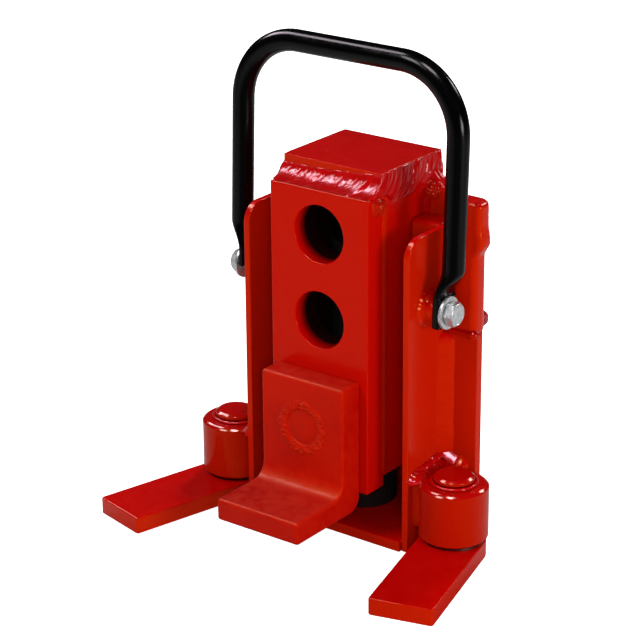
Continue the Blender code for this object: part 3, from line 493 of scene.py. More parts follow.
def enamel(name, colour, deep, light, gloss=0.2, peel=0.25, edge=0.35, dust=0.1, shine=0.30,
           tint=(1.0, 1.0, 1.0), coat=0.0, flank=0.0, upright_reflection=None):
    """Gloss enamel: film, lighter edges, a trace of dust and a clear surface.

    Its clear coat is as strong as coat where faces look up, and as flank elsewhere. Upright faces take a painted
    reflection: a more orange base colour that stands in for the warm glow of the floor in their gloss.
    """
    paint, tree, shader, where = start_finish(name)
    film = place_group(tree, FILM, where, Colour=(*colour, 1.0), Deep_Colour=(*deep, 1.0), Gloss=gloss)
    rim = place_group(tree, EDGE, where, Width=0.0012)
    dusty = place_group(tree, DUST, where, Amount=dust)
    # Edges are lightened towards the light colour: a painted highlight, not wear.
    edge_highlight_share = maths(tree, "MULTIPLY", rim.outputs["Mask"], edge)
    toned = mix_colour(tree, edge_highlight_share, film.outputs["Colour"], light)
    toned = mix_colour(tree, dusty.outputs["Mask"], toned, DUST_COLOUR)
    if upright_reflection:
        toned = mix_colour(tree, dusty.outputs["Up"], upright_reflection, toned)
    tree.links.new(toned, shader.inputs["Base Color"])
    dull = maths(tree, "ADD", film.outputs["Roughness"], maths(tree, "MULTIPLY", dusty.outputs["Mask"], 0.8))
    tree.links.new(dull, shader.inputs["Roughness"])
    shader.inputs["Specular IOR Level"].default_value = shine
    shader.inputs["Specular Tint"].default_value = (*tint, 1.0)
    shader.inputs["Coat Weight"].default_value = coat
    if coat != flank:
        wet = maths(tree, "ADD", maths(tree, "MULTIPLY", dusty.outputs["Up"], coat - flank), flank)
        tree.links.new(wet, shader.inputs["Coat Weight"])
    shader.inputs["Coat Roughness"].default_value = COAT_ROUGHNESS
    relief(tree, shader, film.outputs["Height"], peel, 0.0004)
    return paint


def plated(name, colour, rough, brush=0.2, metallic=1.0, spots=0.2, pattern=260.0):
    """Plated or machined metal: soft cloudy roughness and fine brushing."""
    paint, tree, shader, where = start_finish(name)
    cloud = noise(tree, where, pattern, 4.0, 0.6)
    fine = noise(tree, where, 2600.0, 2.0)
    darker = tuple(c * (1.0 - spots) for c in colour)
    tree.links.new(mix_colour(tree, spread(tree, cloud, 0.4, 0.6), darker, colour), shader.inputs["Base Color"])
    tree.links.new(spread(tree, cloud, 0.3, 0.7, rough * 0.75, rough * 1.3), shader.inputs["Roughness"])
    shader.inputs["Metallic"].default_value = metallic
    relief(tree, shader, maths(tree, "ADD", cloud, maths(tree, "MULTIPLY", fine, 0.3)), brush, 0.0002)
    return paint


# %% Finishes: each with its colour, the deeper tone and the painted highlight on its edges
# The warm colour given to three of the reds below is a painted reflection on their upright faces.
RED = enamel("red enamel", (0.47, 0.0006, 0.0004), (0.42, 0.0004, 0.0003), (0.52, 0.006, 0.002), dust=0.006,
             shine=0.20, tint=(1.0, 0.50, 0.05), coat=0.22, upright_reflection=(0.47, 0.0085, 0.0004))
# Its base red is darker than the plate red: painted shade, because the lamps light the hubs and pins more than the
# plates.
RED_TURNED_SHADED = enamel("red enamel on turned steel, darkened as painted shade", (0.38, 0.0005, 0.0004), (0.34, 0.0004, 0.0003), (0.52, 0.006, 0.002),
                    gloss=0.12, dust=0.0, shine=0.20, tint=(1.0, 0.50, 0.06), coat=0.60, upright_reflection=(0.385, 0.0060, 0.0004))
RED_WELD = enamel("red enamel on weld", (0.46, 0.0008, 0.0006), (0.38, 0.0004, 0.0004), (0.56, 0.012, 0.006),
                  gloss=0.17, peel=0.30, edge=0.3, dust=0.0, shine=0.30, tint=(1.0, 0.50, 0.62), coat=0.38, flank=0.28)
RED_TOE = enamel("red enamel on rough steel", (0.46, 0.0040, 0.0004), (0.38, 0.0006, 0.0003), (0.60, 0.03, 0.006),
                 gloss=0.46, peel=0.60, edge=0.55, dust=0.0, shine=0.20, tint=(1.0, 0.46, 0.05), coat=0.04)
# This copy of the red gets painted shade inside the holes and the tube further down.
RED_BORE_SHADED = enamel("red enamel with painted shade in the bores", (0.47, 0.0010, 0.0004), (0.42, 0.0004, 0.0003), (0.52, 0.006, 0.002),
                   dust=0.0, shine=0.20, tint=(1.0, 0.50, 0.05), coat=0.20, upright_reflection=(0.47, 0.0022, 0.0004))
BLACK = enamel("black enamel", (0.0008, 0.0008, 0.0009), (0.0005, 0.0005, 0.0006), (0.002, 0.002, 0.002),
               gloss=0.16, peel=0.10, edge=0.2, dust=0.0, shine=0.15)
BLACK_STEEL = enamel("black painted steel", (0.010, 0.009, 0.009), (0.006, 0.006, 0.006), (0.03, 0.03, 0.03),
                     gloss=0.40, peel=0.3, edge=0.2, dust=0.03)
PLASTIC = enamel("moulded plastic under overspray", (0.42, 0.0020, 0.0010), (0.22, 0.0012, 0.0010),
                 (0.46, 0.02, 0.003), gloss=0.35, peel=0.5, edge=0.1, dust=0.0, shine=0.2)
ZINC = plated("zinc plate", (0.62, 0.63, 0.64), 0.30, brush=0.30, metallic=0.70, spots=0.20)
CHROME = plated("hard chrome", (0.78, 0.79, 0.80), 0.08, brush=0.03, spots=0.05)
DARK = plated("oiled steel", (0.11, 0.105, 0.10), 0.38, brush=0.4, spots=0.35)
RUBBER = plated("seal rubber", (0.015, 0.015, 0.015), 0.55, brush=0.3, metallic=0.0, spots=0.3)
print("finishes", len(bpy.data.materials))

# %% [markdown]
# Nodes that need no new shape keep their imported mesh. Each gets the finish
# of its own material slot. Those that are made again below are hidden then.

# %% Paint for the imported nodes
FINISH_OF_SLOT = {"red_enamel": RED, "black_enamel": BLACK, "black_steel": BLACK_STEEL, "black_plastic": PLASTIC,
                  "zinc": ZINC, "hard_chrome": CHROME, "dark_steel": DARK, "seal_rubber": RUBBER}
SLOT_OF = {s["node"]: s["material_slot"] for s in frame["record"]["subparts"]}
for node, item in NODES.items():
    item.material_slots[0].material = FINISH_OF_SLOT[SLOT_OF[node]]
print("painted", len(NODES), "packed nodes")

# %% [markdown]
# The carry handle is one bar of 19 mm. Its ends are pressed flat, cut square,
# set in towards the jack by a small joggle, and drilled for the bolts. The
# section is carried along a path while it changes from a circle to a flat
# pill. The square ends are small plates that a Boolean joins to the bar.


# %% Carry handle: section and path
BAR_R = 0.0095
EYE_T, EYE_W = 0.0062, 0.0260
EYE_X = 0.1014
LEG_X = EYE_X + 0.0081
EYE_FLAT, JOGGLE = 0.0140, 0.0240
BEND_R, TOP = 0.0568, 0.2029
LEAN = math.radians(2.3)
BOLT_HOLE_R = 0.0073


def ease(t):
    """Smooth step: 3 t^2 - 2 t^3, held at both ends."""
    t = np.clip(t, 0.0, 1.0)
    return t * t * (3.0 - 2.0 * t)


def handle_section(flat, count):
    """Across and deep sizes of the section: circle at 0, flat pill at 1."""
    angle = np.arange(count) * (math.tau / count)
    c, s = np.cos(angle), np.sin(angle)
    pill_across = EYE_T / 2 * np.sign(c) * np.abs(c) ** 0.35
    pill_deep = EYE_W / 2 * np.sign(s) * np.abs(s) ** 0.80
    f = flat[:, None]
    return BAR_R * c * (1 - f) + pill_across * f, BAR_R * s * (1 - f) + pill_deep * f


def handle_path():
    """Right half of the centreline: across, up, heading and flatness.

    It runs up the eye, through the joggle, which is eased across, up the
    straight leg, and round a quarter circle to the middle of the grip.
    """
    eye = np.array([0.0, EYE_FLAT * 0.5])
    joggle = np.linspace(0, 1, 28)
    straight = np.linspace(EYE_FLAT + JOGGLE, TOP - BEND_R, 12)[1:-1]
    turn = np.radians(np.linspace(0, 90, 40))
    across = np.concatenate([0 * eye + EYE_X, EYE_X + (LEG_X - EYE_X) * ease(joggle), 0 * straight + LEG_X,
                             LEG_X - BEND_R + BEND_R * np.cos(turn), [0.0]])
    up = np.concatenate([eye, EYE_FLAT + JOGGLE * joggle, straight, TOP - BEND_R + BEND_R * np.sin(turn), [TOP]])
    before_bend = len(eye) + len(joggle) + len(straight)
    heading = np.concatenate([np.zeros(before_bend), turn, [math.pi / 2]])
    flat = np.concatenate([0 * eye + 1, 1.0 - ease(joggle), np.zeros(len(up) - len(eye) - len(joggle))])
    return across, up, heading, flat


# %% Carry handle: the bar and its drilled ends
def combine(item, other, operation):
    """Apply a Boolean with another object, which is then removed."""
    step = item.modifiers.new("join", "BOOLEAN")
    step.operation = operation
    step.solver = "EXACT"
    step.object = other
    bpy.context.view_layer.update()
    graph = bpy.context.evaluated_depsgraph_get()
    mesh = bpy.data.meshes.new_from_object(item.evaluated_get(graph))
    item.modifiers.clear()
    old, item.data = item.data, mesh
    bpy.data.meshes.remove(old)
    bpy.data.objects.remove(other, do_unlink=True)


def make_handle():
    """Loft the bar through its sections, join its square ends to it and drill them."""
    across, up, heading, flat = handle_path()
    across = np.concatenate([across, -across[-2::-1]])
    up = np.concatenate([up, up[-2::-1]])
    heading = np.concatenate([heading, math.pi - heading[-2::-1]])
    flat = np.concatenate([flat, flat[-2::-1]])
    wide, deep = handle_section(flat, 40)
    c, s = np.cos(heading)[:, None], np.sin(heading)[:, None]
    x = across[:, None] + wide * c
    z = up[:, None] + wide * s
    pivot = PIVOT["handle_hinge"]
    world = np.stack([x, pivot[1] + deep * math.cos(LEAN) + z * math.sin(LEAN),
                      pivot[2] + z * math.cos(LEAN) - deep * math.sin(LEAN)], -1)
    bar = skin("carry_handle_bar", world, sharp=60.0)
    half = EYE_W / 2
    lean = np.array([[math.cos(LEAN), -math.sin(LEAN)], [math.sin(LEAN), math.cos(LEAN)]])
    for _, sign in SIDES:
        square_end = rounded_outline([(-half, -half), (half, -half), (half, EYE_FLAT), (-half, EYE_FLAT)],
                                     [0.0030, 0.0030, 0.0005, 0.0005], 8) * 0.995
        middle = sign * EYE_X
        eye = plate("eye", square_end @ lean + pivot[1:], middle - EYE_T / 2, middle + EYE_T / 2, 0.0012, (), "YZ")
        hole = turned("hole", [(0, -0.01), (BOLT_HOLE_R, -0.01), (BOLT_HOLE_R, 0.01), (0, 0.01)],
                      (middle, pivot[1], pivot[2]), (1, 0, 0), 48, 0.0)
        combine(bar, eye, "UNION")
        combine(bar, hole, "DIFFERENCE")
    smooth(bar, PLATE_SHARP)
    return bar


settle(make_handle(), "carry_handle", ["handle"], BLACK)

# %% [markdown]
# The bolts, washers and bosses at the foot of the handle are zinc plated
# standard parts on a red welded boss. A forged hexagon head has a domed
# chamfer, which is the meeting of the hexagon with a cone.


# %% Washers and spacers
def bush(node, ending, inner, axis, body, paint, radius):
    """Ring with rounded edges, from an inner radius to its node's outer radius."""
    low, high = box(node)
    half = (high[axis] - low[axis]) / 2
    outer = (high[(axis + 1) % 3] - low[(axis + 1) % 3]) / 2
    profile = [(inner, -half), (outer, -half), (outer, half), (inner, half)]
    piece = turned(f"{node}_{ending}", profile, (low + high) / 2, np.eye(3)[axis], 72, radius, closed=True)
    settle(piece, body, [node], paint)


# %% Bolts
CONE_FROM, CONE_SLOPE = 0.80, 1.10


def hex_head(corner_r, height, steps=96):
    """Rows of a hexagon head, from its face up to the domed end.

    The radius at angle p is the lesser of the hexagon
    R cos(30) / cos(p mod 60 - 30) and of the chamfer cone at that height.
    """
    angle = np.arange(steps) * (math.tau / steps)
    flat = corner_r * math.cos(math.pi / 6) / np.cos((angle % (math.pi / 3)) - math.pi / 6)
    levels = np.concatenate([np.linspace(0, height * 0.72, 6), np.linspace(height * 0.74, height, 14)])
    cone = corner_r - np.clip(levels - height * CONE_FROM, 0, None) * CONE_SLOPE
    rows = np.minimum(flat[None, :], cone[:, None])
    return angle, rows, levels


def make_bolt(side, sign):
    """Bolt: domed hexagon head with a washer face, and its plain shank."""
    low, high = box(f"handle_bolt_{side}")
    pivot = PIVOT["handle_hinge"]
    washer_low, washer_high = box(f"handle_washer_{side}")
    start = (washer_high[0] if sign > 0 else -washer_low[0]) + 0.0003
    end = high[0] if sign > 0 else -low[0]
    tip = low[0] if sign > 0 else -high[0]
    angle, rows, levels = hex_head((high[2] - low[2]) / 2, end - start)
    fillet = np.array([[0.0070], [0.0074], [0.0100]])
    shank = np.vstack([np.array([[0.0005], [0.0064], [0.0070]]), fillet])
    shank_at = np.array([tip, tip, tip + 0.0008, start - 0.0004, start, start])
    radius = np.vstack([np.repeat(shank, len(angle), 1), rows, rows[-1:] * 0.93, rows[-1:] * 0.90, rows[-1:] * 0.3])
    at = np.concatenate([shank_at, start + levels, [end, end - 0.0003, end - 0.0003]])
    grid = np.stack([np.broadcast_to(sign * at[:, None], radius.shape),
                     pivot[1] + radius * np.cos(angle), pivot[2] + radius * np.sin(angle)], -1)
    bolt = skin(f"handle_bolt_{side}_turned", grid, sharp=28.0)
    settle(bolt, "frame", [f"handle_bolt_{side}"], ZINC)


# %% Bosses, then all that stands at the handle's ends
def make_boss(side, sign):
    """Threaded boss with its fillet weld, whose ripples run round it.

    The profile is spun about X, and the weld's radius gets two cosines of
    the angle, with 17 and 5 waves.
    """
    low, high = box(f"handle_boss_{side}")
    pivot = PIVOT["handle_hinge"]
    start, end = (low[0], high[0]) if sign > 0 else (-high[0], -low[0])
    outer = (high[2] - low[2]) / 2
    body = outer - 0.0045
    bore = BOLT_HOLE_R + 0.0001
    profile = [(bore, end - start), (body, end - start), (body, 0.0050), (body + 0.0016, 0.0022), (outer, 0.0004),
               (outer, 0.0), (bore, 0.0)]
    line = np.vstack([profile, profile[0]])
    line = round_corners(line, [0, 0.0008, 0.004, 0.003, 0.0003, 0.0, 0.0, 0])[:-1]
    angle = np.arange(144) * (math.tau / 144)
    wave = 0.00035 * np.cos(angle * 17 + 1.5 * np.sin(angle * 2)) + 0.0002 * np.cos(angle * 5 + 1.0)
    near_foot = np.clip((line[:, 0] - body) / 0.002, 0, 1) * np.clip(1 - (line[:, 1] - 0.0003) / 0.006, 0, 1)
    on_weld = (near_foot * (line[:, 1] > 0.0002))[:, None]
    radius = line[:, :1] + (wave[None, :] - 0.0005) * on_weld
    grid = np.stack([np.broadcast_to(sign * (start + line[:, 1:]), radius.shape),
                     pivot[1] + radius * np.cos(angle), pivot[2] + radius * np.sin(angle)], -1)
    boss = skin(f"handle_boss_{side}_welded", grid, wrap_rows=True, sharp=45.0)
    settle(boss, "frame", [f"handle_boss_{side}"], RED)


for side, sign in SIDES:
    make_bolt(side, sign)
    make_boss(side, sign)
    bush(f"handle_washer_{side}", "pressed", BOLT_HOLE_R, 0, "frame", ZINC, 0.0004)

# %% [markdown]
# The front plate is 24 mm thick, flame cut and machined, with three holes for the toe's pin. Behind it the imported
# square tube stays as it is. Inside the holes and the tube the red fades to near black, as painted shade for the dark
# deep in the bores.


# %% Front plate and its holes
HOLE_R = 0.0251
HOLES_Z = (0.1062, 0.1945, 0.2702)
WALL = 0.0080
# Near black painted shade deep in the holes and the tube.
BORE_SHADE_COLOUR = (0.010, 0.0012, 0.0010)


def paint_bore_shade(paint, half_width, start, end, limit):
    """Darken a finish where |x| is under half_width, from y start to y end and up to the limit: painted shade inside
    the holes and the tube.
    """
    tree = paint.node_tree
    target = tree.nodes["Principled BSDF"].inputs["Base Color"]
    painted = target.links[0].from_socket
    parts = tree.nodes.new("ShaderNodeSeparateXYZ")
    tree.links.new(tree.nodes.new("ShaderNodeTexCoord").outputs["Object"], parts.inputs[0])
    inside = maths(tree, "LESS_THAN", maths(tree, "ABSOLUTE", parts.outputs["X"], 0.0), half_width)
    near = maths(tree, "LESS_THAN", parts.outputs["Y"], limit)
    deep = maths(tree, "MULTIPLY", maths(tree, "MULTIPLY", inside, near), spread(tree, parts.outputs["Y"], start, end))
    tree.links.new(mix_colour(tree, deep, painted, BORE_SHADE_COLOUR), target)


plate_low, plate_high = box("front_plate")
tube_low, tube_high = box("lift_tube")
front_outline = rounded_outline(corners(plate_low, plate_high, 0, 2), 0.0015, 4)
holes = [circle(HOLE_R) + (0.0, z) for z in HOLES_Z]
front = plate("front_plate_cut", front_outline, plate_low[1], plate_high[1], 0.0012, holes, "XZ", 0.0011)
paint_bore_shade(RED_BORE_SHADED, tube_high[0] - WALL / 2, plate_low[1] + 0.0050, plate_low[1] + 0.0150, tube_high[1] - WALL / 2)
settle(front, "lift", ["front_plate"], RED_BORE_SHADED)
NODES["lift_tube"].material_slots[0].material = RED_BORE_SHADED

# %% [markdown]
# The toe is cut from thick plate in the shape of an L, with a wide fillet
# where the load bends it and a rounded heel that clears the hole's edge. Its
# upright and its lip have thicknesses of their own.

# %% Toe
low, high = box("toe")
TOE_UP, TOE_LIP = 0.0248, 0.0198
FACE, LIP = high[1] - TOE_UP, low[2] + TOE_LIP
toe_outline = rounded_outline(
    [(low[1], low[2]), (high[1], low[2]), (high[1], high[2]), (FACE, high[2]), (FACE, LIP), (low[1], LIP)],
    [0.0032, 0.0130, 0.0032, 0.0034, 0.0140, 0.0032], 8)
toe = plate("toe_cut", toe_outline, low[0], high[0], 0.0024, (), "YZ")
pin_low, pin_high = box("toe_hook_pin")
PIN_Z = (pin_low[2] + pin_high[2]) / 2
PIN_R = (pin_high[2] - pin_low[2]) / 2
hole = turned("toe_hole", [(0, 0), (PIN_R + 0.0002, 0), (PIN_R + 0.0002, 0.05), (0, 0.05)],
              (0, FACE - 0.01, PIN_Z), (0, 1, 0), 96, 0.0)
combine(toe, hole, "DIFFERENCE")
smooth(toe, PLATE_SHARP)
settle(toe, "toe_assembly", ["toe"], RED_TOE)

# %% [markdown]
# The pin goes right through the toe and is plug welded in front. The weld
# round its end was laid by hand: a ring of uneven lumps with pits between.


# %% Fields that make metal look laid by hand
def wander(t, seed, waves=6, longest=0.05, shortest=0.006):
    """Smooth random line: a sum of sines with seeded lengths and phases."""
    rng = np.random.default_rng(seed)
    length = np.geomspace(longest, shortest, waves) * rng.uniform(0.85, 1.15, waves)
    phase = rng.uniform(0, math.tau, waves)
    share = np.sqrt(length / longest)
    return (np.sin(t[..., None] * math.tau / length + phase) * share).sum(-1) / share.sum()


def lumps(x, z, seed, size):
    """Rough field over a plane, from -1 to 1: products of wandering lines."""
    turned_x, turned_z = 0.8 * x + 0.6 * z, 0.8 * z - 0.6 * x
    a = wander(x, seed, 4, size, size / 3) * wander(z, seed + 1, 4, size, size / 3)
    b = wander(turned_x, seed + 2, 4, size, size / 3) * wander(turned_z, seed + 3, 4, size, size / 3)
    return np.clip(2.2 * (a + b), -1, 1)


def crescents(s, v, pitch, seed, lean=0.45):
    """Ripple height from 0 to 1: rounded crests with sharp valleys between them.

    With f the share of a ripple that has passed, the height is
    sqrt(1 - (2 f - 1)^2), times a size drawn for each ripple.
    """
    phase = s / pitch + lean * v * v + 0.40 * wander(s, seed, 5, 0.04, 0.008)
    whole = np.floor(phase)
    size = 0.72 + 0.28 * np.sin(whole * 2.399 + seed)
    return size * np.sqrt(np.clip(1 - (2 * (phase - whole) - 1) ** 2, 0, 1))


# %% Hook pin with its ring of weld
PLUG_R, PLUG_DEPTH = 0.0155, 0.0012


def make_hook_pin():
    """Plug, ring of weld and pin: one turned grid, with lumps on the ring.

    Across the ring, with t from 0 at the plug to 1 at its rim, the height is
    a sin(pi t)^0.7 - b (1 - t)^3 - c t^4, plus lumps and ripples.
    """
    share = np.linspace(0, 1, 22)
    rise = 0.0010 * np.sin(math.pi * share) ** 0.7 - PLUG_DEPTH * (1 - share) ** 3 - 0.0006 * share ** 4
    plug = [(0.0003, -PLUG_DEPTH), (0.0075, -PLUG_DEPTH), (PLUG_R - 0.0012, -PLUG_DEPTH), (PLUG_R - 0.0003, -0.0015)]
    ring = np.column_stack([np.linspace(PLUG_R, PIN_R + 0.0014, 22), rise])
    pin = [(PIN_R, -0.0020), (PIN_R, -0.0500), (PIN_R - 0.0006, -0.0530), (PIN_R - 0.0030, -0.0547), (0.0003, -0.0548)]
    profile = np.vstack([plug, ring, pin])
    angle = np.arange(240) * (math.tau / 240)
    x = profile[:, :1] * np.cos(angle)
    z = profile[:, :1] * np.sin(angle)
    in_ring = np.zeros(len(profile))
    in_ring[len(plug):len(plug) + len(ring)] = np.sin(math.pi * np.clip(share * 0.94 + 0.03, 0, 1)) ** 0.5
    ripple = crescents(angle * 0.0195, profile[:, :1] / PIN_R, 0.0043, 61, 1.2) - 0.5
    field = 0.0009 * lumps(x, z, 62, 0.009) + 0.0005 * lumps(x, z, 70, 0.004) + 0.00055 * ripple
    height = profile[:, 1:] + field * in_ring[:, None]
    grid = np.stack([x, FACE - height, PIN_Z + z], -1)
    return skin("toe_hook_pin_welded", grid, sharp=60.0)


settle(make_hook_pin(), "toe_assembly", ["toe_hook_pin"], RED_TOE)

# %% [markdown]
# Weld beads show on every joint of the jack, and their ripples catch the
# light. A bead is a low ridge carried along its seam. Each ripple is a
# crescent, because the molten pool freezes from its rim: its phase is the
# distance along the seam minus a share of the square of the place across it.


# %% Fillet beads
BEAD_STEP = 0.0007


def along(points, step):
    """Even points on a polyline, with the distance run to each."""
    points = np.asarray(points, float)
    run = np.concatenate([[0], np.cumsum(np.linalg.norm(np.diff(points, axis=0), axis=1))])
    s = np.linspace(0, run[-1], max(8, int(run[-1] / step)))
    return np.stack([np.interp(s, run, points[:, k]) for k in range(3)], -1), s


def bead(name, points, side_a, side_b, leg, seed, pitch=0.0042, crown=0.25, ripple=0.10, wobble=0.12, taper=1.0):
    """Fillet bead in the corner between two faces.

    The corner runs through points, and side_a and side_b are the unit
    directions along the faces. Across the bead v goes from -1 on face a to 1
    on face b; the surface is the chord between the two legs plus a crown
    (1 - v^2), the ripples and a slow wander of the legs.
    """
    centre, s = along(points, BEAD_STEP)
    a, b = np.asarray(side_a, float), np.asarray(side_b, float)
    v = np.linspace(-1, 1, 15)
    grow = 1.0 + wobble * wander(s, seed)
    grow_b = 1.0 + wobble * wander(s, seed + 50)
    end = np.minimum(s, s[-1] - s)
    close = np.sqrt(np.clip(1 - (1 - np.clip(end / (leg * taper), 0, 1)) ** 2, 0.0004, 1))
    leg_a = (leg * grow * close)[:, None]
    leg_b = (leg * grow_b * close)[:, None]
    out = (a + b) / np.linalg.norm(a + b)
    crest = (1 - v * v)[None, :]
    rise = leg * close[:, None] * crest * (crown + ripple * (crescents(s[:, None], v[None, :], pitch, seed) - 0.5) * 2)
    share = (1 + v)[None, :] / 2
    top = (centre[:, None, :] + a * (leg_a * (1 - share))[..., None] + b * (leg_b * share)[..., None]
           + out * rise[..., None])
    low = centre[:, None, :] - out * (0.15 * leg)
    grid = np.concatenate([top, low], 1)
    return skin(name, grid, sharp=70.0)


# %% Runs on an edge, and the round ends of runs
def rope(name, points, radii, seed, lump=0.15, pitch=0.004, ripple=0.10, squash=(1.0, 1.0, 1.0)):
    """Run of weld metal laid on an edge: a tube, partly sunk in the steel.

    The radius follows radii along the path, closes to a point at both ends,
    and carries lumps and ripples. The circle's two axes are square to the
    path, and squash scales the section along X, Y and Z.
    """
    centre, s = along(points, BEAD_STEP)
    ahead = np.gradient(centre, axis=0)
    ahead /= np.linalg.norm(ahead, axis=1)[:, None]
    helper = np.array([0.0, 0.0, 1.0]) if abs(ahead[:, 2]).mean() < 0.8 else np.array([1.0, 0.0, 0.0])
    u = np.cross(helper, ahead)
    u /= np.linalg.norm(u, axis=1)[:, None]
    w = np.cross(ahead, u)
    angle = np.arange(20) * (math.tau / 20)
    base = np.interp(s / s[-1], np.linspace(0, 1, len(radii)), radii)
    end = np.clip(np.minimum(s, s[-1] - s) / base, 0, 1)
    base = base * np.sqrt(np.clip(1 - (1 - end) ** 2, 0.0004, 1))
    rough = 1 + lump * wander(s[:, None] + 0.004 * np.cos(angle), seed, 7, 0.03, 0.004)
    rough = rough + ripple * (crescents(s[:, None], np.cos(angle)[None, :], pitch, seed, 0.3) - 0.5)
    r = (base[:, None] * rough)[..., None]
    section = np.cos(angle)[None, :, None] * u[:, None, :] + np.sin(angle)[None, :, None] * w[:, None, :]
    return skin(name, centre[:, None, :] + r * section * np.asarray(squash), sharp=70.0)


def dab(name, centre, out, size, height, seed, body="frame", paint=None):
    """Round end of a run: a low dome whose rings froze one inside the other.

    With rho from 0 to 1 outwards the height is H (1 - rho^2)^0.6, times
    ripples that count along rho, and its rim wanders in and out.
    """
    u, w, d = axes_from(out)
    rho = np.linspace(0.01, 1, 30)[:, None]
    angle = np.arange(96) * (math.tau / 96)
    rim = 1 + 0.08 * np.cos(2 * angle + seed) + 0.05 * np.cos(3 * angle + 2 * seed)
    rim = rim + 0.03 * np.cos(7 * angle + seed)
    a, b = size[0] * rho * rim * np.cos(angle), size[1] * rho * rim * np.sin(angle)
    rings = crescents(rho * min(size) - 0.35 * b + 0 * angle, 0 * rho, 0.0034, seed) - 0.5
    rise = height * (1 - rho ** 2) ** 0.6 * (1 + 0.40 * rings + 0.15 * lumps(a, b, seed, 0.012))
    rise = np.where(rho > 0.995, -0.0012, rise)
    grid = np.asarray(centre) + a[..., None] * u + b[..., None] * w + rise[..., None] * d
    settle(skin(name, grid, sharp=70.0), body, [], paint or RED_WELD)


def rope_weld(name, points, radii, seed, body="frame", paint=None, **more):
    """Run that is settled on its body, in weld red if no paint is given."""
    settle(rope(name, points, radii, seed, **more), body, [], paint or RED_WELD)


def weld(name, points, side_a, side_b, leg, seed, body="frame", paint=None, **more):
    """Bead that is settled on its body, in weld red if no paint is given."""
    settle(bead(name, points, side_a, side_b, leg, seed, **more), body, [], paint or RED_WELD)


# %% Welds of the frame: wings, hubs, base and rails
SIDE_IN, SIDE_OUT = box("side_plate_right")[0][0], box("side_plate_right")[1][0]
SIDE_TOP = box("side_plate_right")[1][2]
WING_FRONT, WING_BACK = box("wing_right")[0][1], box("wing_right")[1][1]
WING_TOP = box("wing_right")[1][2]
HUB_LOW, HUB_TOP = box("hub_right")[0][2], box("hub_right")[1][2]
WEB_FRONT, NOTCH_Y, RAIL_FRONT = -0.0540, -0.0455, -0.0045
SEED_SHIFT = {"left": 20, "right": 0}
for side, sign in SIDES:
    x, x_in, shift = sign * SIDE_OUT, sign * SIDE_IN, SEED_SHIFT[side]
    outwards = (sign, 0, 0)
    weld(f"weld_wing_{side}", [(x, WING_FRONT, HUB_TOP + 0.005), (x, WING_FRONT, WING_TOP - 0.002)],
         (0, -1, 0), outwards, 0.0105, 3 + shift, paint=RED, pitch=0.0095, crown=0.03, ripple=0.012, wobble=0.05)
    weld(f"weld_wing_back_{side}", [(x, WING_BACK, HUB_LOW + 0.004), (x, WING_BACK, WING_TOP - 0.004)],
         (0, 1, 0), outwards, 0.0060, 5 + shift)
    web_path = [(x + sign * 0.0005, -0.0500, HUB_TOP + 0.0030), (x + sign * 0.001, -0.030, HUB_TOP + 0.0045),
                (x + sign * 0.001, WING_FRONT - 0.003, HUB_TOP + 0.0080)]
    rope_weld(f"weld_hub_web_{side}", web_path, [0.0030, 0.0034, 0.0036], 7 + shift,
              lump=0.30, pitch=0.0056, ripple=0.45)
    weld(f"weld_hub_side_{side}", [(x, WEB_FRONT, HUB_TOP), (x, WING_FRONT, HUB_TOP)],
         (0, 0, 0.6), outwards, 0.0110, 21 + shift, paint=RED_TURNED_SHADED, pitch=0.0055, crown=0.10, ripple=0.05)
    weld(f"weld_hub_wing_{side}", [(x + sign * 0.001, WING_FRONT - 0.0010, HUB_TOP + 0.0085),
                                   (x + sign * 0.0190, WING_FRONT - 0.0010, HUB_TOP + 0.0012)],
         (0, 0, 0.86), (0, -1, 0), 0.0070, 9 + shift, pitch=0.0090, crown=0.06, ripple=0.02, wobble=0.04, taper=0.5)
    weld(f"weld_hub_wing_low_{side}", [(x, WING_FRONT, HUB_TOP), (sign * 0.1120, WING_FRONT, HUB_TOP)],
         (0, 0, 0.9), (0, -1, 0), 0.0100, 17 + shift, paint=RED, pitch=0.0090, crown=0.08, ripple=0.01, wobble=0.04)
    weld(f"weld_hub_notch_{side}", [(x, NOTCH_Y, HUB_LOW + 0.004), (x, NOTCH_Y, HUB_TOP - 0.001)],
         (0, -0.3, 0), outwards, 0.0115, 11 + shift, paint=RED, crown=0.02, pitch=0.009, ripple=0.015, wobble=0.06)
    dab(f"weld_hub_toe_{side}", (x + sign * 0.0030, -0.0525, HUB_TOP - 0.0005), (sign * 0.35, -0.61, 0.71),
        (0.0062, 0.0046), 0.0016, 19 + shift)
    weld(f"weld_base_{side}", [(x_in, WEB_FRONT, 0.0095), (x_in, 0.0480, 0.0095)],
         (0, 0, 1), (-sign, 0, 0), 0.0050, 13 + shift)
    weld(f"weld_rail_{side}", [(x_in, RAIL_FRONT, 0.012), (x_in, RAIL_FRONT, SIDE_TOP - 0.004)],
         (0, -1, 0), (-sign, 0, 0), 0.0050, 15 + shift)

# %% [markdown]
# The upright bar on the right wing has a bead along its foot. The block has
# runs of its own: one where the thick plate meets the tube, and fillets on
# top of the guide bars. Where a run ends the metal stands in a round dab.

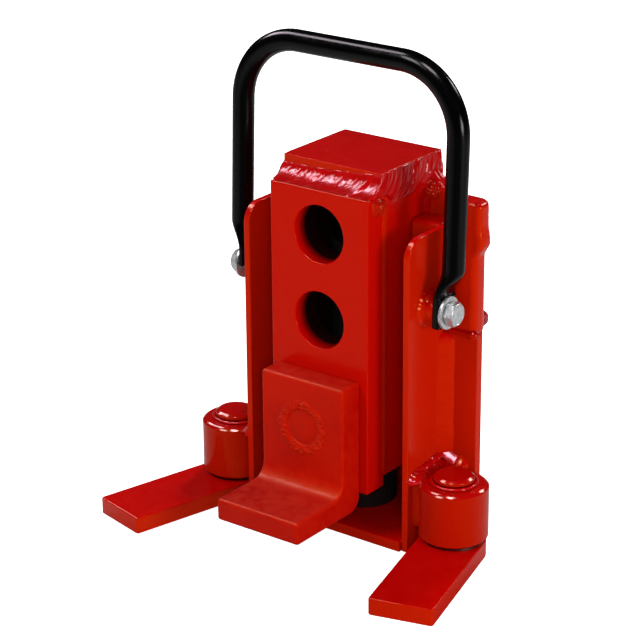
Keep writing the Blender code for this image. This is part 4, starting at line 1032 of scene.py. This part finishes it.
# %% Welds of the upright bar and of the block
post_low, post_high = box("rear_post")
foot_y = post_low[1] - 0.0004
foot_path = [(post_low[0] + 0.001, foot_y, WING_TOP), (post_high[0] - 0.001, foot_y, WING_TOP),
             (post_high[0] + 0.0022, post_low[1] + 0.004, WING_TOP - 0.0005)]
rope_weld("weld_post_foot", foot_path, [0.0022, 0.0026, 0.0030, 0.0044], 41, paint=RED_TURNED_SHADED,
          lump=0.14, pitch=0.005, ripple=0.10)
SEAM_TOP, BAR_SEAM_TOP = 0.2990, 0.2960
for side, sign in SIDES:
    shift, outwards = SEED_SHIFT[side], (sign, 0, 0)
    corner_x, seam_x = sign * tube_high[0], sign * (tube_high[0] - 0.0012)
    bar_low, bar_high = box(f"guide_bar_{side}")
    rope_weld(f"weld_plate_seam_{side}", [(seam_x, tube_low[1], tube_low[2] + 0.004), (seam_x, tube_low[1], SEAM_TOP)],
              [0.0020, 0.0021, 0.0020, 0.0021, 0.0022], 51 + shift, "lift", RED, lump=0.12, ripple=0.06, pitch=0.006,
              squash=(1, 2.4, 1))
    dab(f"weld_corner_{side}", (sign * (tube_high[0] - 0.0004), tube_low[1] - 0.0085, SEAM_TOP), outwards,
        (0.0115, 0.0075), 0.0030, 53 + shift, "lift", RED_TURNED_SHADED)
    dab(f"weld_bar_end_{side}", (sign * (tube_high[0] + 0.0050), bar_low[1] - 0.0002, bar_high[2] - 0.0010),
        (0.3 * sign, -1, 0.5), (0.0090, 0.0085), 0.0036, 58 + shift, "lift", RED_TURNED_SHADED)
    weld(f"weld_bar_seam_{side}", [(corner_x, bar_low[1], bar_low[2] + 0.004), (corner_x, bar_low[1], BAR_SEAM_TOP)],
         (0, -1, 0), outwards, 0.0042, 55 + shift, "lift", pitch=0.0060, crown=0.25, ripple=0.10)
    top_path = [(corner_x, bar_low[1] + 0.0012, bar_high[2]), (corner_x, tube_high[1] - 0.001, bar_high[2])]
    weld(f"weld_bar_top_{side}", top_path, (0, 0, 1), outwards, 0.0210, 57 + shift, "lift",
         pitch=0.0065, crown=-0.22, ripple=0.05, taper=0.25)

# %% [markdown]
# The hubs are thick bushes welded into the corner of side plate and wing.
# Their pins have a round head with a soft rim, a collar of weld metal under
# it, and the feet swing on them between thin spacers.


# %% Hubs
HUB_R, PIN_SHANK, FOOT_BORE = 0.0295, 0.0100, 0.0103


def make_hub(side, sign):
    """Round hub with a web block that fills the corner behind it."""
    low, high = box(f"hub_{side}")
    hinge = PIVOT[f"foot_{side}_hinge"]
    inner = (low[0] if sign > 0 else high[0]) - hinge[0]
    back = high[1] - hinge[1]
    r = HUB_R
    outline = np.vstack([arc(0, 0, r, 90, -180, 60), [(-r - 0.0010, 0.0), (-abs(inner), 0.0), (-abs(inner), back)]])
    outline = outline * (sign, 1.0) + hinge[:2]
    bore = circle(PIN_SHANK + 0.0004) + hinge[:2]
    hub = plate(f"hub_{side}_turned", outline, low[2], high[2], 0.0034, [bore], "XY", 0.0006, 0.8)
    settle(hub, "frame", [f"hub_{side}"], RED_TURNED_SHADED)


# %% Collars, pins and spacers
COLLAR_R = 0.0176


def make_collar(side):
    """Collar of weld metal round the pin, rippled on its top.

    With t from 0 at the pin's head to 1 at the rim, the height is
    base + a sin(pi t)^0.6, plus ripples times sin(pi t), and the rim wanders.
    """
    low, high = box(f"foot_collar_{side}")
    hinge = PIVOT[f"foot_{side}_hinge"]
    outer = (high[0] - low[0]) / 2
    ring = np.linspace(0, 1, 12)
    angle = np.arange(160) * (math.tau / 160)
    r = COLLAR_R + (outer - 0.0006 - COLLAR_R) * ring
    rise = 0.0012 + 0.0008 * np.sin(math.pi * ring) ** 0.6
    wave = 0.0007 * (crescents(angle * 0.0195, 0 * angle, 0.0050, 81) - 0.6)
    z = rise[:, None] + wave * np.sin(math.pi * ring)[:, None]
    stretch = 1 + 0.02 * wander(angle[None, :] * 0.02, 83, 5, 0.06, 0.01) * ring[:, None]
    flat = np.ones((1, len(angle)))
    r = np.concatenate([[FOOT_BORE, FOOT_BORE], r, [outer - 0.0002, outer - 0.0004]])[:, None]
    z = np.concatenate([0.0002 * flat, 0.0011 * flat, z, 0.0007 * flat, 0.0002 * flat])
    stretch = np.concatenate([flat, flat, stretch, stretch[-1:], stretch[-1:]])
    grid = np.stack([hinge[0] + r * np.cos(angle) * stretch, hinge[1] + r * np.sin(angle) * stretch, low[2] + z], -1)
    return skin(f"foot_collar_{side}_welded", grid, wrap_rows=True, sharp=70.0)


def make_pin(side, body):
    """Pin with a round head and a soft rim, the collar under it and the spacer under the hub."""
    low, high = box(f"foot_pin_{side}")
    hinge = PIVOT[f"foot_{side}_hinge"]
    head_r, top = (high[0] - low[0]) / 2, high[2]
    base = box(f"foot_collar_{side}")[1][2] + 0.0003
    profile = [(0.0004, low[2]), (PIN_SHANK, low[2]), (PIN_SHANK, base), (head_r, base), (head_r, top - 0.0027),
               (head_r - 0.0026, top - 0.0008), (0.0, top)]
    line = round_corners(profile, [0, 0.0010, 0, 0.0006, 0.0008, 0.0016, 0], 10)
    pin = turned(f"foot_pin_{side}_turned", line, (hinge[0], hinge[1], 0), (0, 0, 1), 96, 0.0)
    settle(pin, body, [f"foot_pin_{side}"], RED_TURNED_SHADED)
    settle(make_collar(side), body, [f"foot_collar_{side}"], RED_WELD)
    bush(f"foot_spacer_{side}", "turned", FOOT_BORE, 2, body, DARK, 0.0002)


# %% Feet, then all that stands at each hub
FOOT_HALF, FOOT_REACH = 0.0279, 0.1279
FOOT_TURN = 14.5


def make_foot(side, sign, body):
    """Flat bar with a round heel about its pin, turned outwards on it."""
    low, high = box(f"foot_{side}")
    hinge = PIVOT[f"foot_{side}_hinge"]
    half, reach = FOOT_HALF, FOOT_REACH
    heel = arc(0, 0, half, 0, 180, 40)
    front = round_corners([(-half, 0.0), (-half, -reach), (half, -reach), (half, 0.0)], 0.0026, 4)[1:-1]
    a = math.radians(sign * FOOT_TURN)
    turn = np.array([[math.cos(a), math.sin(a)], [-math.sin(a), math.cos(a)]])
    outline = np.vstack([heel, front]) @ turn + hinge[:2]
    bore = circle(FOOT_BORE) + hinge[:2]
    foot = plate(f"foot_{side}_cut", outline, low[2], high[2], 0.0012, [bore], "XY", 0.0005)
    settle(foot, body, [f"foot_{side}"], RED)


for side, sign in SIDES:
    make_hub(side, sign)
    make_pin(side, f"{side}_foot")
    make_foot(side, sign, f"{side}_foot")

# %% [markdown]
# Side plates have a large radius at their top corners. Made again from their
# outline they keep the thin light line along the edge that the eye expects.
# The rails inside them, on which the block slides, are made the same way. The
# upright bar swells at the top, where weld was laid down its outer edge.

# %% Side plates and rails
TOP_CORNER, RAIL_CORNER = 0.0170, 0.0050
for side, sign in SIDES:
    for part, radii, steps, edge in (("side_plate", [0.0008, 0.0008, TOP_CORNER, TOP_CORNER], 14, 0.0009),
                                     ("guide_rail", [0.0024, 0.0024, RAIL_CORNER, RAIL_CORNER], 8, 0.0018)):
        node = f"{part}_{side}"
        low, high = box(node)
        outline = rounded_outline(corners(low, high, 1, 2), radii, steps)
        settle(plate(f"{node}_cut", outline, low[0], high[0], edge, (), "YZ"), "frame", [node], RED)


# %% The upright bar
SWELL, SWELL_FROM = 0.0052, 0.2540


def make_post():
    """Upright bar: its outline is carried up, and swells where weld runs down the outer edge.

    The swelling eases in over 12 mm, and from 14 to 30 mm a part of it eases
    back. It grows with the square of the eased place across the bar.
    """
    low, high = box("rear_post")
    edge = 0.0045
    outline = rounded_outline(corners(low, high, 0, 1), [0.0010, 0.0055, 0.0100, 0.0010], 10)
    turn = np.radians(np.linspace(0, 90, 9)[1:])
    z = np.concatenate([[low[2], low[2] + 0.001], np.linspace(low[2] + 0.002, high[2] - edge, 130),
                        high[2] - edge + edge * np.sin(turn)])
    step = np.concatenate([[0.001, 0.0], np.zeros(130), edge - edge * np.cos(turn)])
    swell = SWELL * ease((z - SWELL_FROM) / 0.0120) - 0.0020 * ease((z - SWELL_FROM - 0.0140) / 0.0160)
    outer = ease((outline[:, 0] - low[0]) / (high[0] - low[0])) ** 2
    rough = 0.0006 * wander(z[:, None] + 0.4 * outline[:, 1], 45, 6, 0.03, 0.004) * (swell / SWELL)[:, None]
    loops = np.repeat(outline[None], len(z), 0)
    loops[..., 0] += (swell[:, None] + rough) * outer
    grid = np.stack([np.column_stack([inset(loop, move), np.full(len(loop), level)])
                     for loop, move, level in zip(loops, step, z)])
    return skin("rear_post_welded", grid, sharp=60.0)


settle(make_post(), "frame", ["rear_post"], RED)

# %% [markdown]
# The weld round the cap is the boldest mark on the jack. In front it fills
# the step between the thick plate and the cap with a wide hollow fillet, and
# along the sides it is a flat bead. It is lofted from level curves: each is a
# rounded outline round the cap, further out and lower than the last.


# %% Cap, and the level curves round it
low, high = box("cap_block")
CAP_HALF, CAP_FRONT, CAP_BACK = plate_high[0], low[1], tube_high[1]
cap_outline = rounded_outline(corners(low, high, 0, 1), 0.0010, 4)
cap = plate("cap_block_cut", cap_outline, low[2], high[2], 0.0004)
settle(cap, "lift", ["cap_block"], RED)


def level_curve(out_front, out_side, corner):
    """Closed outline round the cap with the same points per side at every level."""
    w, front, back = CAP_HALF + out_side, CAP_FRONT - out_front, CAP_BACK + out_side
    steps = 10
    loop = rounded_outline([(w, front), (w, back), (-w, back), (-w, front)], [corner, 0.0018, 0.0018, corner], steps)
    middles = [i * (steps + 1) + steps // 2 for i in range(4)]
    around = np.vstack([loop, loop])
    sides = [around[middles[i]:(middles[i + 1] if i < 3 else middles[0] + len(loop)) + 1] for i in range(4)]
    made = []
    for side, count in zip(sides, (110, 125, 110, 125)):
        run = np.concatenate([[0], np.cumsum(np.linalg.norm(np.diff(side, axis=0), axis=1))])
        at = np.linspace(0, run[-1], count, endpoint=False)
        made.append(np.stack([np.interp(at, run, side[:, k]) for k in range(2)], -1))
    return np.concatenate(made)


# %% Weld round the cap
FRONT_REACH = 0.0172


def make_cap_weld():
    """Weld round the cap, lofted through its level curves and then rippled.

    At level v from 0 at the cap to 1 at the plate the front curve stands out
    by R v^1.9 at the height H (1 - v)^1.25; the side curves drop evenly from
    the cap's rim to the tube, and bulge by a sine.
    """
    base = plate_high[2]
    rim = box("cap_block")[1][2] - base - 0.0003
    v = np.linspace(0, 1, 30)
    reach = 0.0004 + FRONT_REACH * v ** 1.9
    bulge = 0.0004 + 0.0012 * np.sin(np.pi * v) + 0.0016 * v ** 2
    grid = np.stack([level_curve(a, b, 0.0012 + 0.45 * a) for a, b in zip(reach, bulge)], 1)
    x, y = grid[..., 0], grid[..., 1]
    front = 1 - ease((y - CAP_FRONT) / 0.0080)
    across = np.clip((1 + x / CAP_HALF) / 2, 0, 1)
    high = (0.0112 + 0.0063 * across ** 1.8) * front + rim * (1 - front)
    low = 0.0085 * np.clip((y - plate_high[1]) / 0.010, 0, 1)
    z = (high * (1 - v) ** 1.25 + 0.0004) * front + (high - (high + low) * v) * (1 - front)
    grid = np.dstack([x, y, base + z])
    middle = grid[:, len(v) // 2]
    s = np.concatenate([[0], np.cumsum(np.linalg.norm(np.diff(middle, axis=0), axis=1))])[:, None]
    along_s = np.roll(grid, -1, 0) - np.roll(grid, 1, 0)
    normal = np.cross(along_s, np.gradient(grid, axis=1))
    normal /= np.linalg.norm(normal, axis=2)[..., None] + 1e-9
    normal *= np.sign((normal[..., :2] * grid[..., :2]).sum(-1).sum())
    lean = 1.1 * front - 0.9 * (1 - front)
    ripple = crescents(s, v * lean, 0.0062, 31, 1.0) - 0.5
    patch = wander(s + 0.012 * v, 33, 8, 0.030, 0.0036)
    size = 0.0013 + 0.0003 * (1 - front)
    push = (size * ripple + 0.0016 * patch) * np.sin(np.pi * v) ** 0.5
    top = grid + normal * push[..., None]
    inner = level_curve(-0.0008, -0.0008, 0.0010)
    inside = [np.column_stack([inner, grid[:, end, 2]])[:, None] for end in (0, -1)]
    return skin("cap_weld_beads", np.concatenate([inside[0], top, inside[1]], 1), wrap_rows=True, sharp=75.0)


settle(make_cap_weld(), "lift", ["cap_weld"], RED_WELD)

# %% [markdown]
# The camera stands where the photograph was taken from, to the right of the
# front and above the jack, a good way off. Its lens and place were worked out
# from the jack's own edges.

# %% Camera
AZIMUTH, ELEVATION, ROLL = 0.641, 0.368, -0.005
CAMERA_PLACE = (1.0954, -1.5126, 0.9011)
FOCAL_PX, FRAME_PX, SENSOR_MM = 2335.0, 640.0, 36.0
camera_data = bpy.data.cameras.new("camera")
camera = bpy.data.objects.new("camera", camera_data)
bpy.context.scene.collection.objects.link(camera)
level = Vector((-math.sin(AZIMUTH), math.cos(AZIMUTH), 0.0))
forward = level * math.cos(ELEVATION) - Vector((0.0, 0.0, math.sin(ELEVATION)))
right = Vector((math.cos(AZIMUTH), math.sin(AZIMUTH), 0.0))
up = level * math.sin(ELEVATION) + Vector((0.0, 0.0, math.cos(ELEVATION)))
right, up = right * math.cos(ROLL) + up * math.sin(ROLL), up * math.cos(ROLL) - right * math.sin(ROLL)
turn = Matrix((right, up, -forward)).transposed()
camera.matrix_world = Matrix.Translation(CAMERA_PLACE) @ turn.to_4x4()
camera_data.sensor_width = SENSOR_MM
camera_data.lens = FOCAL_PX * SENSOR_MM / FRAME_PX
camera_data.shift_x = -0.0209
camera_data.shift_y = -0.0111
camera_data.clip_end = 50.0
bpy.context.scene.camera = camera
print("camera at", [round(x, 3) for x in camera.location], "lens", round(camera_data.lens, 1))

# %% [markdown]
# A white floor and soft lamps, as in a small product studio. The floor and
# the world look white to the camera, while the light that falls on the jack
# stays at a plain level. The fill and the rear light fall only on matt
# paint, so they draw no spots in the gloss. Three others show only as
# highlights: the gleam on the hollow weld of the cap, the spots on the rims
# of pins and hubs, and the light from behind along the edges on the right.


# %% Floor
def pale_floor():
    """Large floor that looks white and still takes a shadow.

    In reflections it is darker, and darkest towards the side that the
    photograph was taken from, as the room behind a photographer is. So round
    pieces keep dark middles and light flanks. That side is fixed in the room
    and doesn't follow the camera.
    """
    size, level = 6.0, -0.0002
    points = np.array([(-size, -size, level), (size, -size, level), (size, size, level), (-size, size, level)])
    floor = fresh_mesh("floor", points, [[0, 1, 2, 3]])
    paint, tree, shader, where = start_finish("pale floor")
    rays = tree.nodes.new("ShaderNodeLightPath")
    bearing = tree.nodes.new("ShaderNodeVectorMath")
    bearing.operation = "NORMALIZE"
    tree.links.new(where, bearing.inputs[0])
    facing = tree.nodes.new("ShaderNodeVectorMath")
    facing.operation = "DOT_PRODUCT"
    facing.inputs[1].default_value = (math.sin(AZIMUTH), -math.cos(AZIMUTH), 0.0)
    tree.links.new(bearing.outputs["Vector"], facing.inputs[0])
    dark_side = spread(tree, facing.outputs["Value"], 0.55, 0.92)
    mirrored = mix_colour(tree, dark_side, (0.50, 0.50, 0.50), (0.05, 0.05, 0.05))
    felt = mix_colour(tree, rays.outputs["Is Glossy Ray"], (0.55, 0.55, 0.55), mirrored)
    shown = mix_colour(tree, rays.outputs["Is Camera Ray"], felt, (0.90, 0.90, 0.90))
    tree.links.new(shown, shader.inputs["Base Color"])
    tree.links.new(maths(tree, "MULTIPLY", rays.outputs["Is Camera Ray"], 0.85), shader.inputs["Emission Strength"])
    shader.inputs["Emission Color"].default_value = (1.0, 1.0, 1.0, 1.0)
    shader.inputs["Roughness"].default_value = 0.9
    floor.data.materials.append(paint)
    print("floor of", 2 * size, "m")


pale_floor()


# %% World and lamps
def lamp(name, place, target, width, depth, power, diffuse=True, glossy=True, colour=(1.0, 1.0, 1.0),
         across=(1.0, 0.0, 0.0)):
    """Soft lamp that looks at a target, with its width turned along a direction.

    It may light only matt or only shiny surfaces.
    """
    data = bpy.data.lights.new(name, "AREA")
    data.shape = "RECTANGLE"
    data.energy, data.size, data.size_y = power, width, depth
    data.color = colour
    item = bpy.data.objects.new(name, data)
    bpy.context.scene.collection.objects.link(item)
    back = (Vector(place) - Vector(target)).normalized()
    wide = (Vector(across) - back * back.dot(Vector(across))).normalized()
    item.matrix_world = Matrix.Translation(place) @ Matrix((wide, back.cross(wide), back)).transposed().to_4x4()
    item.visible_diffuse, item.visible_glossy = diffuse, glossy
    print(f"lamp {name}: {power} W")


AMBIENT = 0.37
world = bpy.data.worlds.new("studio")
bpy.context.scene.world = world
world.use_nodes = True
tree = world.node_tree
background = tree.nodes["Background"]
rays = tree.nodes.new("ShaderNodeLightPath")
seen = maths(tree, "MULTIPLY", rays.outputs["Is Camera Ray"], 1.0 - AMBIENT)
glossy = maths(tree, "MULTIPLY", rays.outputs["Is Glossy Ray"], 0.02 - AMBIENT)
strength = maths(tree, "ADD", maths(tree, "ADD", seen, glossy), AMBIENT)
background.inputs["Color"].default_value = (1.0, 1.0, 1.0, 1.0)
tree.links.new(strength, background.inputs["Strength"])
PINKISH = (1.0, 0.86, 0.97)
lamp("key", (-0.6, -1.2, 1.8), (0, 0, 0.2), 0.60, 0.60, 18.0)
lamp("fill", (1.2, -1.65, 0.9), (0, 0, 0.15), 0.60, 0.60, 14.0, glossy=False)
lamp("side", (1.8, -0.4, 0.5), (0, 0, 0.15), 0.50, 0.50, 15.0)
lamp("rear", (-0.5, 1.5, 1.6), (0, 0, 0.2), 0.50, 0.50, 28.0, glossy=False)
lamp("gleam", (-1.4, -0.10, 1.75), (0, 0, 0.2), 1.60, 0.56, 48.0, diffuse=False, colour=PINKISH,
     across=(0.76, -0.55, 0.74))
lamp("rim", (0.25, -0.75, 2.05), (0, 0, 0.2), 0.55, 0.45, 26.0, diffuse=False, colour=PINKISH)
lamp("back", (0.75, 1.60, 1.35), (0, 0, 0.2), 0.50, 0.50, 12.0, diffuse=False)
bpy.context.scene.view_settings.view_transform = "Standard"
